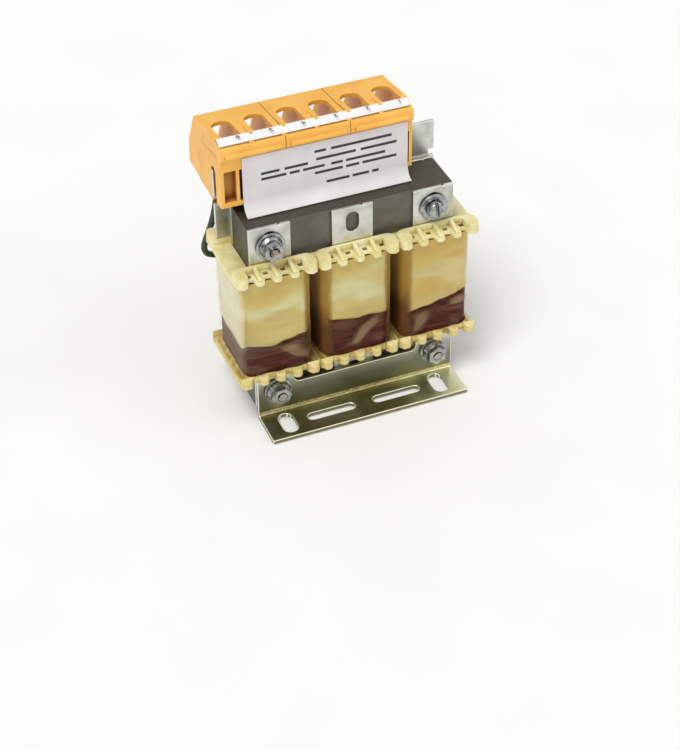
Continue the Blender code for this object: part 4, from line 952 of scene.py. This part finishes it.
        made = self.sleeve(0.55).skin([(foot + z, out) for z, out in rings], shape)
        bmesh.ops.bridge_loops(made, edges=[e for e in made.edges if e.is_boundary])
        self.deliver(made, f"resin_bead_{self.number}", Finishes.RESIN, crease=80)

    def build(self) -> None:
        """Makes the wire, then what is wrapped over it."""
        self.wire()
        self.tape()
        self.film()
        for number, corners in enumerate(self.folds, 1):
            self.fold(number, corners)
        self.resin()


@dataclass
class Fastener(SubAssembly):
    """One bolt through the core, with its nut and washers."""

    corner: str
    nut_in_front: bool
    thread_radius: float = 1.36
    thread_depth: float = 0.28
    pitch: float = 0.5
    threaded: float = 6.2
    turn_steps: int = 28
    washer_edge: float = 0.12
    nut_edge: float = 0.16
    bolt_edge: float = 0.14

    def thread(self, length: float) -> BMesh:
        """Makes a threaded rod from zero along +Y.

        Args:
            length: Length in millimetres.

        Returns:
            The rod, closed at both ends.
        """
        made = bmesh.new()
        turns = int(length / self.pitch) + 3
        line = []
        for turn in range(turns):
            base = (turn - 1.5) * self.pitch
            for share, radius in ((0.0, self.thread_radius - self.thread_depth), (0.38, self.thread_radius),
                                  (0.62, self.thread_radius)):
                line.append(made.verts.new((radius * MM, (base + share * self.pitch) * MM, 0)))
        edges = [made.edges.new(pair) for pair in zip(line, line[1:])]
        bmesh.ops.spin(made, geom=line + edges, cent=(0, 0, 0), axis=(0, 1, 0), angle=2 * math.pi,
                       steps=self.turn_steps, dvec=(0, self.pitch * MM / self.turn_steps, 0), use_merge=False)
        bmesh.ops.remove_doubles(made, verts=made.verts, dist=0.004 * MM)
        for place, side in ((0.0, -1), (length, 1)):
            rim = cut(made, Vector((0, place, 0)), Vector((0, side, 0)), True)
            bmesh.ops.edgenet_fill(made, edges=rim)
        return made

    def build(self) -> None:
        """Rounds the washers and nut, and cuts the thread on the bolt's end."""
        edges = {"washer_front": self.washer_edge, "washer_rear": self.washer_edge, "nut": self.nut_edge}
        for stem, edge in edges.items():
            self.soften((f"{stem}_{self.corner}",), "plated", edge, Finishes.FASTENER)
        name = f"bolt_{self.corner}"
        low, high = box(name)
        made = softened(name, self.bolt_edge)
        tip, inward = (low.y, 1) if self.nut_in_front else (high.y, -1)
        rim = cut(made, Vector((0, tip + inward * self.threaded, 0)), Vector((0, -inward, 0)), True)
        bmesh.ops.edgenet_fill(made, edges=rim)
        rod = self.thread(self.threaded)
        start = tip if inward > 0 else tip - self.threaded
        centre = (low + high) / 2
        bmesh.ops.translate(rod, vec=Vector((centre.x, start, centre.z)) * MM, verts=rod.verts)
        finish = Finishes.THREAD if self.nut_in_front else Finishes.FASTENER
        self.deliver(joined((made, rod)), f"{name}_threaded", finish, (name,), crease=32)


@dataclass
class TerminalRow(SubAssembly):
    """Three orange blocks of two poles, with their clamps, marker strip and numbers."""

    pole_step: float = 10.0
    first_pole: float = -32.0
    poles: int = 6
    block_edge: float = 0.3
    strip_edge: float = 0.3
    clamp_edge: float = 0.15
    digit_height: float = 2.7
    ink: float = 0.02
    tooth_width: float = 1.25
    tooth_height: float = 0.8
    tooth_front: float = -0.5
    tooth_rear: float = 6.0
    tooth_floor: float = 94.75    # height of the tongues' front end
    tooth_sink: float = 0.22
    tooth_shift: float = 0.8
    tooth_edge: float = 0.22
    tooth_taper: float = 0.8
    bump_place: float = -2.75
    bump_size: tuple[float, float, float] = (1.5, 0.7, 0.8)
    bump_edge: float = 0.2
    groove_width: float = 0.22
    groove_depth: float = 0.15
    # seams of the end covers, as distance back and height of both ends
    seams: tuple[tuple[tuple[float, float], tuple[float, float]], ...] = (
        ((16.2, 72.6), (16.2, 81.2)),
        ((0.2, 88.9), (14.0, 86.3)),
    )

    def roof(self, x: float, y: float) -> float:
        """Height of the blocks' roof above a point, in millimetres."""
        best = 0.0
        for node in numbered("terminal_block", 3):
            made = merged(node)
            hit = BVHTree.FromBMesh(made).ray_cast(Vector((x, y, 120)) * MM, Vector((0, 0, -1)))
            made.free()
            if hit[0] is not None:
                best = max(best, hit[0].z / MM)
        return best

    def peg(self, size: Vector, place: Vector, edge: float, tilt: float = 0.0, taper: float = 1.0) -> BMesh:
        """Makes a small rounded block.

        Args:
            size: Its size in millimetres.
            place: Its middle.
            edge: Width of its rounded edges.
            tilt: Turn about X in radians.
            taper: Width of the front end as a share of the rear.

        Returns:
            The block.
        """
        made = bmesh.new()
        bmesh.ops.create_cube(made, size=1.0)
        bmesh.ops.scale(made, vec=size * MM, verts=made.verts)
        for vert in made.verts:
            if vert.co.y < 0:
                vert.co.x *= taper
        bmesh.ops.rotate(made, cent=(0, 0, 0), matrix=Matrix.Rotation(tilt, 3, "X"), verts=made.verts)
        bmesh.ops.translate(made, vec=place * MM, verts=made.verts)
        bevel(made, made.edges[:], edge, 2)
        return made

    def holders(self) -> None:
        """Adds the tongues and bumps between the entries that hold the strip's two edges."""
        tongues, bumps = [], []
        for index in range(self.poles - 1):
            between = self.first_pole + self.pole_step * (index + 0.5)
            x = between + self.tooth_shift
            low, high = self.tooth_floor, self.roof(x, self.tooth_rear)
            length = self.tooth_rear - self.tooth_front
            size = Vector((self.tooth_width, length, self.tooth_height))
            place = Vector((x, (self.tooth_front + self.tooth_rear) / 2, (low + high) / 2 - self.tooth_sink))
            tilt = math.atan2(high - low, length)
            tongues.append(self.peg(size, place, self.tooth_edge, tilt, self.tooth_taper))
            place = Vector((between, self.bump_place, self.roof(between + 0.9, self.bump_place) + 0.1))
            bumps.append(self.peg(Vector(self.bump_size), place, self.bump_edge))
        self.even(self.deliver(joined(tongues), "strip_retaining_tongues", Finishes.BLOCK))
        self.even(self.deliver(joined(bumps), "strip_front_bumps", Finishes.BLOCK))

    def groove(self, made: BMesh, side: float, start: Vector, end: Vector) -> None:
        """Sinks a straight groove in the end face of a block.

        Args:
            made: Mesh of the block.
            side: Direction that the end face looks along X.
            start: First end of the groove as (0, y, z) in millimetres.
            end: Second end.
        """
        along = (end - start).normalized()
        across = Vector((0, -along.z, along.y))
        half = self.groove_width / 2
        for point, normal in ((start + across * half, across), (start - across * half, across),
                              (start, along), (end, along)):
            cut(made, point, normal)
        reach = (end - start).length
        sunk = []
        for face in made.faces:
            place = face.calc_center_median() / MM - start
            inside = abs(place.dot(across)) < half and 0 < place.dot(along) < reach
            if face.normal.x * side > 0.9 and inside:
                sunk.append(face)
        grown = bmesh.ops.extrude_face_region(made, geom=sunk)["geom"]
        bmesh.ops.translate(made, vec=(-side * self.groove_depth * MM, 0, 0),
                            verts=[g for g in grown if isinstance(g, BMVert)])
        bmesh.ops.delete(made, geom=sunk, context="FACES")

    def blocks(self) -> None:
        """Rounds the blocks and sinks the seams of their end covers."""
        for number, node in enumerate(numbered("terminal_block", 3), 1):
            made = softened(node, self.block_edge)
            if number != 2:
                for start, end in self.seams:
                    self.groove(made, -1.0 if number == 1 else 1.0, Vector((0, *start)), Vector((0, *end)))
            self.even(self.deliver(made, f"{node}_moulded", Finishes.BLOCK, (node,)))

    def digits(self) -> None:
        """Prints plain pole numbers on the strip, read from behind."""
        parts = []
        low, high = box("marker_strip")
        for index in range(self.poles):
            curve = bpy.data.curves.new("digit", "FONT")
            curve.body = str(self.poles - index)
            curve.align_x, curve.align_y = "CENTER", "CENTER"
            curve.size, curve.extrude = self.digit_height * MM, 0.0
            holder = bpy.data.objects.new("digit", curve)
            bpy.context.scene.collection.objects.link(holder)
            finished = holder.evaluated_get(bpy.context.evaluated_depsgraph_get())
            flat = bpy.data.meshes.new_from_object(finished)
            part = bmesh.new()
            part.from_mesh(flat)
            bpy.data.objects.remove(holder)
            bpy.data.curves.remove(curve)
            bpy.data.meshes.remove(flat)
            bmesh.ops.rotate(part, cent=(0, 0, 0), matrix=Matrix.Rotation(math.pi, 3, "Z"), verts=part.verts)
            x = self.first_pole + self.pole_step * index + 1.5
            bmesh.ops.translate(part, vec=Vector((x, (low.y + high.y) / 2 - 0.15, high.z + 0.03)) * MM,
                                verts=part.verts)
            parts.append(part)
        piece = self.deliver(joined(parts), "pole_numbers", Finishes.INK, recalculated=False)
        self.wall(piece, self.ink, 0.0, "ink_thickness")

    def build(self) -> None:
        """Rounds the moulded edges and adds the small parts."""
        self.blocks()
        self.soften(numbered("terminal_clamp", self.poles), "plated", self.clamp_edge, Finishes.FASTENER)
        self.soften(("marker_strip",), "punched", self.strip_edge, Finishes.STRIP)
        self.holders()
        self.digits()


@dataclass
class Label(SubAssembly):
    """Curved paper label with plain bars in place of print."""

    bar_height: float = 0.85
    lift: float = 0.03
    ink: float = 0.015
    # rows of bars: height share from the top, then the start and end shares of each bar
    rows: tuple[tuple[float, tuple[tuple[float, float], ...]], ...] = (
        (0.17, ((0.43, 0.50), (0.53, 0.90))),
        (0.31, ((0.44, 0.68), (0.71, 0.93))),
        (0.35, ((0.11, 0.22), (0.25, 0.39))),
        (0.45, ((0.11, 0.26), (0.28, 0.34), (0.36, 0.49), (0.53, 0.60), (0.62, 0.86))),
        (0.56, ((0.43, 0.60), (0.62, 0.70), (0.72, 0.93))),
        (0.76, ((0.50, 0.64), (0.66, 0.76), (0.78, 0.82))),
    )

    def bars(self) -> BMesh:
        """Lays the bars on the label's curve."""
        sheet = merged("front_label")
        tree = BVHTree.FromBMesh(sheet)
        low, high = box("front_label")
        parts = []
        for share, spans in self.rows:
            z = high.z - share * (high.z - low.z)
            for start, end in spans:
                x0, x1 = (low.x + s * (high.x - low.x) for s in (start, end))
                bar = bmesh.new()
                bmesh.ops.create_grid(bar, x_segments=max(2, int(x1 - x0)), y_segments=3, size=0.5)
                bmesh.ops.scale(bar, vec=((x1 - x0) * MM, self.bar_height * MM, 1), verts=bar.verts)
                bmesh.ops.rotate(bar, cent=(0, 0, 0), matrix=Matrix.Rotation(math.pi / 2, 3, "X"),
                                 verts=bar.verts)
                bmesh.ops.translate(bar, vec=Vector(((x0 + x1) / 2, 0, z)) * MM, verts=bar.verts)
                for vert in bar.verts:
                    hit = tree.ray_cast(Vector((vert.co.x, -40 * MM, vert.co.z)), Vector((0, 1, 0)))[0]
                    vert.co.y = (hit.y if hit is not None else low.y * MM) - self.lift * MM
                parts.append(bar)
        sheet.free()
        return joined(parts)

    def build(self) -> None:
        """Makes the sheet and its print."""
        node = "front_label"
        self.even(self.deliver(merged(node), f"{node}_sheet", Finishes.LABEL, (node,), 50))
        piece = self.deliver(self.bars(), "label_print_bars", Finishes.INK, recalculated=False)
        self.wall(piece, self.ink, 0.0, "ink_thickness")


@dataclass
class Leads(SubAssembly):
    """Six sleeved leads from the coils up to the blocks."""

    count: int = 6
    swell: float = 0.16    # makes up for what the rounding takes off

    def build(self) -> None:
        """Smooths the leads."""
        for node in numbered("winding_lead", self.count):
            piece = self.deliver(merged(node), f"{node}_sleeved", Finishes.LEAD, (node,), 60)
            swell = piece.modifiers.new("swell", "DISPLACE")
            swell.strength, swell.mid_level = self.swell * MM, 0.0
            smooth = piece.modifiers.new("round", "SUBSURF")
            smooth.levels = smooth.render_levels = 2


@dataclass
class Studio:
    """Floor, lights and camera."""

    camera_place: Vector
    azimuth: float
    elevation: float
    roll: float
    lens: float
    key_strength: float = 1.5
    fill_strength: float = 0.35
    sky_strength: float = 0.55
    room: float = 0.22            # brightness of the room that gloss shows near the horizon
    dark_below: float = 0.12
    white_above: float = 0.5

    def camera(self) -> None:
        """Places the camera where the photograph was taken."""
        az, el, roll = (math.radians(a) for a in (self.azimuth, self.elevation, self.roll))
        back = Vector((math.sin(az) * math.cos(el), -math.cos(az) * math.cos(el), math.sin(el)))
        right = (-back).cross(Vector((0, 0, 1))).normalized()
        up = right.cross(-back)
        across = math.cos(roll) * right + math.sin(roll) * up
        along = -math.sin(roll) * right + math.cos(roll) * up
        data = bpy.data.cameras.new("photo_camera")
        data.sensor_fit, data.sensor_width, data.lens = "HORIZONTAL", 36, self.lens
        data.clip_start, data.clip_end = 0.01, 20
        camera = bpy.data.objects.new("photo_camera", data)
        turn = Matrix((across, along, back)).transposed().to_4x4()
        camera.matrix_world = Matrix.Translation(self.camera_place) @ turn
        bpy.context.scene.collection.objects.link(camera)
        bpy.context.scene.camera = camera

    def floor(self) -> None:
        """Lays a wide pale floor."""
        made = bmesh.new()
        bmesh.ops.create_grid(made, x_segments=8, y_segments=8, size=3.0)
        mesh = bpy.data.meshes.new("studio_floor")
        made.to_mesh(mesh)
        made.free()
        floor = bpy.data.objects.new("studio_floor", mesh)
        floor.location.z = -0.0002
        mesh.materials.append(Finishes.FLOOR.value.material())
        bpy.context.scene.collection.objects.link(floor)

    def sky(self) -> None:
        """Lights the scene evenly and shows white to the camera and in gloss."""
        world = bpy.data.worlds.new("studio")
        bpy.context.scene.world = world
        world.use_nodes = True
        on = Canvas(world.node_tree, "Generated")
        ray = on.add("LightPath").outputs
        seen = on.add("Math MAXIMUM", (ray["Is Camera Ray"], ray["Is Transmission Ray"]))
        both = on.add("Math MAXIMUM", (seen, ray["Is Glossy Ray"]))
        height = on.add("SeparateXYZ").outputs["Z"]
        room = on.add("MapRange", (height, self.dark_below, self.white_above, self.room, 1.0))
        gloss = on.add("Math MULTIPLY", (ray["Is Glossy Ray"], room))
        shown = on.add("Math MAXIMUM", (seen, gloss))
        rest = on.add("Math SUBTRACT", (1.0, both))
        soft = on.add("Math MULTIPLY", (rest, self.sky_strength))
        strength = on.add("Math ADD", (shown, soft))
        light = on.add("Background", {"Color": "#FFFFFF", "Strength": strength})
        on.add("OutputWorld", {"Surface": light})

    def lamps(self) -> None:
        """Hangs a broad key lamp high on the left and a weak lamp on the right."""
        for name, aim, strength, angle in (("key", (0.45, 0.35, -1.0), self.key_strength, 28),
                                           ("fill", (-0.8, 0.6, -0.7), self.fill_strength, 50)):
            data = bpy.data.lights.new(name, "SUN")
            data.energy, data.angle = strength, math.radians(angle)
            lamp = bpy.data.objects.new(name, data)
            lamp.rotation_mode = "QUATERNION"
            lamp.rotation_quaternion = Vector(aim).to_track_quat("-Z", "Y")
            bpy.context.scene.collection.objects.link(lamp)

    def build(self) -> None:
        """Sets up the studio."""
        bpy.context.scene.view_settings.view_transform = "Standard"
        self.camera()
        self.floor()
        self.sky()
        self.lamps()


def main() -> None:
    """Builds the studio and then the reactor, from the core outwards."""
    logging.basicConfig(level=logging.INFO, format="%(message)s")
    Studio(Vector((-0.177386, -0.449242, 0.387267)), -21.55, 38.9, -0.86, 102.66).build()
    coils = (
        Coil(1, ((-12.0, 28.0), (-9.5, 31.2), (-4.0, 30.0), (-1.0, 29.6), (2.5, 30.8), (10.0, 31.6)), 0.15,
             (((-3.5, 29.2), (6.0, 32.0), (10.4, 21.6), (4.5, 23.6)),)),
        Coil(2, ((-12.0, 35.4), (-8.5, 33.6), (-4.0, 32.6), (3.0, 32.3), (9.0, 32.0)), 0.0,
             (((1.5, 33.2), (9.8, 33.0), (-1.5, 21.5), (-6.5, 22.0)),)),
        Coil(3, ((-11.0, 28.0), (-8.0, 29.3), (-4.0, 30.0), (1.0, 31.2), (5.0, 31.8), (9.0, 33.2)), 0.0,
             (((-9.6, 30.0), (-1.5, 30.0), (-6.0, 20.6), (-9.8, 21.0)),
              ((1.5, 31.0), (9.9, 33.2), (9.9, 28.6), (2.5, 27.6)))),
    )
    fasteners = (Fastener("upper_left", True), Fastener("upper_right", False), Fastener("lower_left", True),
                 Fastener("lower_right", True))
    for part in (Core(), Metalwork(), Bobbins(), *coils, *fasteners, TerminalRow(), Label(), Leads()):
        LOG.info("building %s", type(part).__name__)
        part.build()


if __name__ == "__main__":
    main()
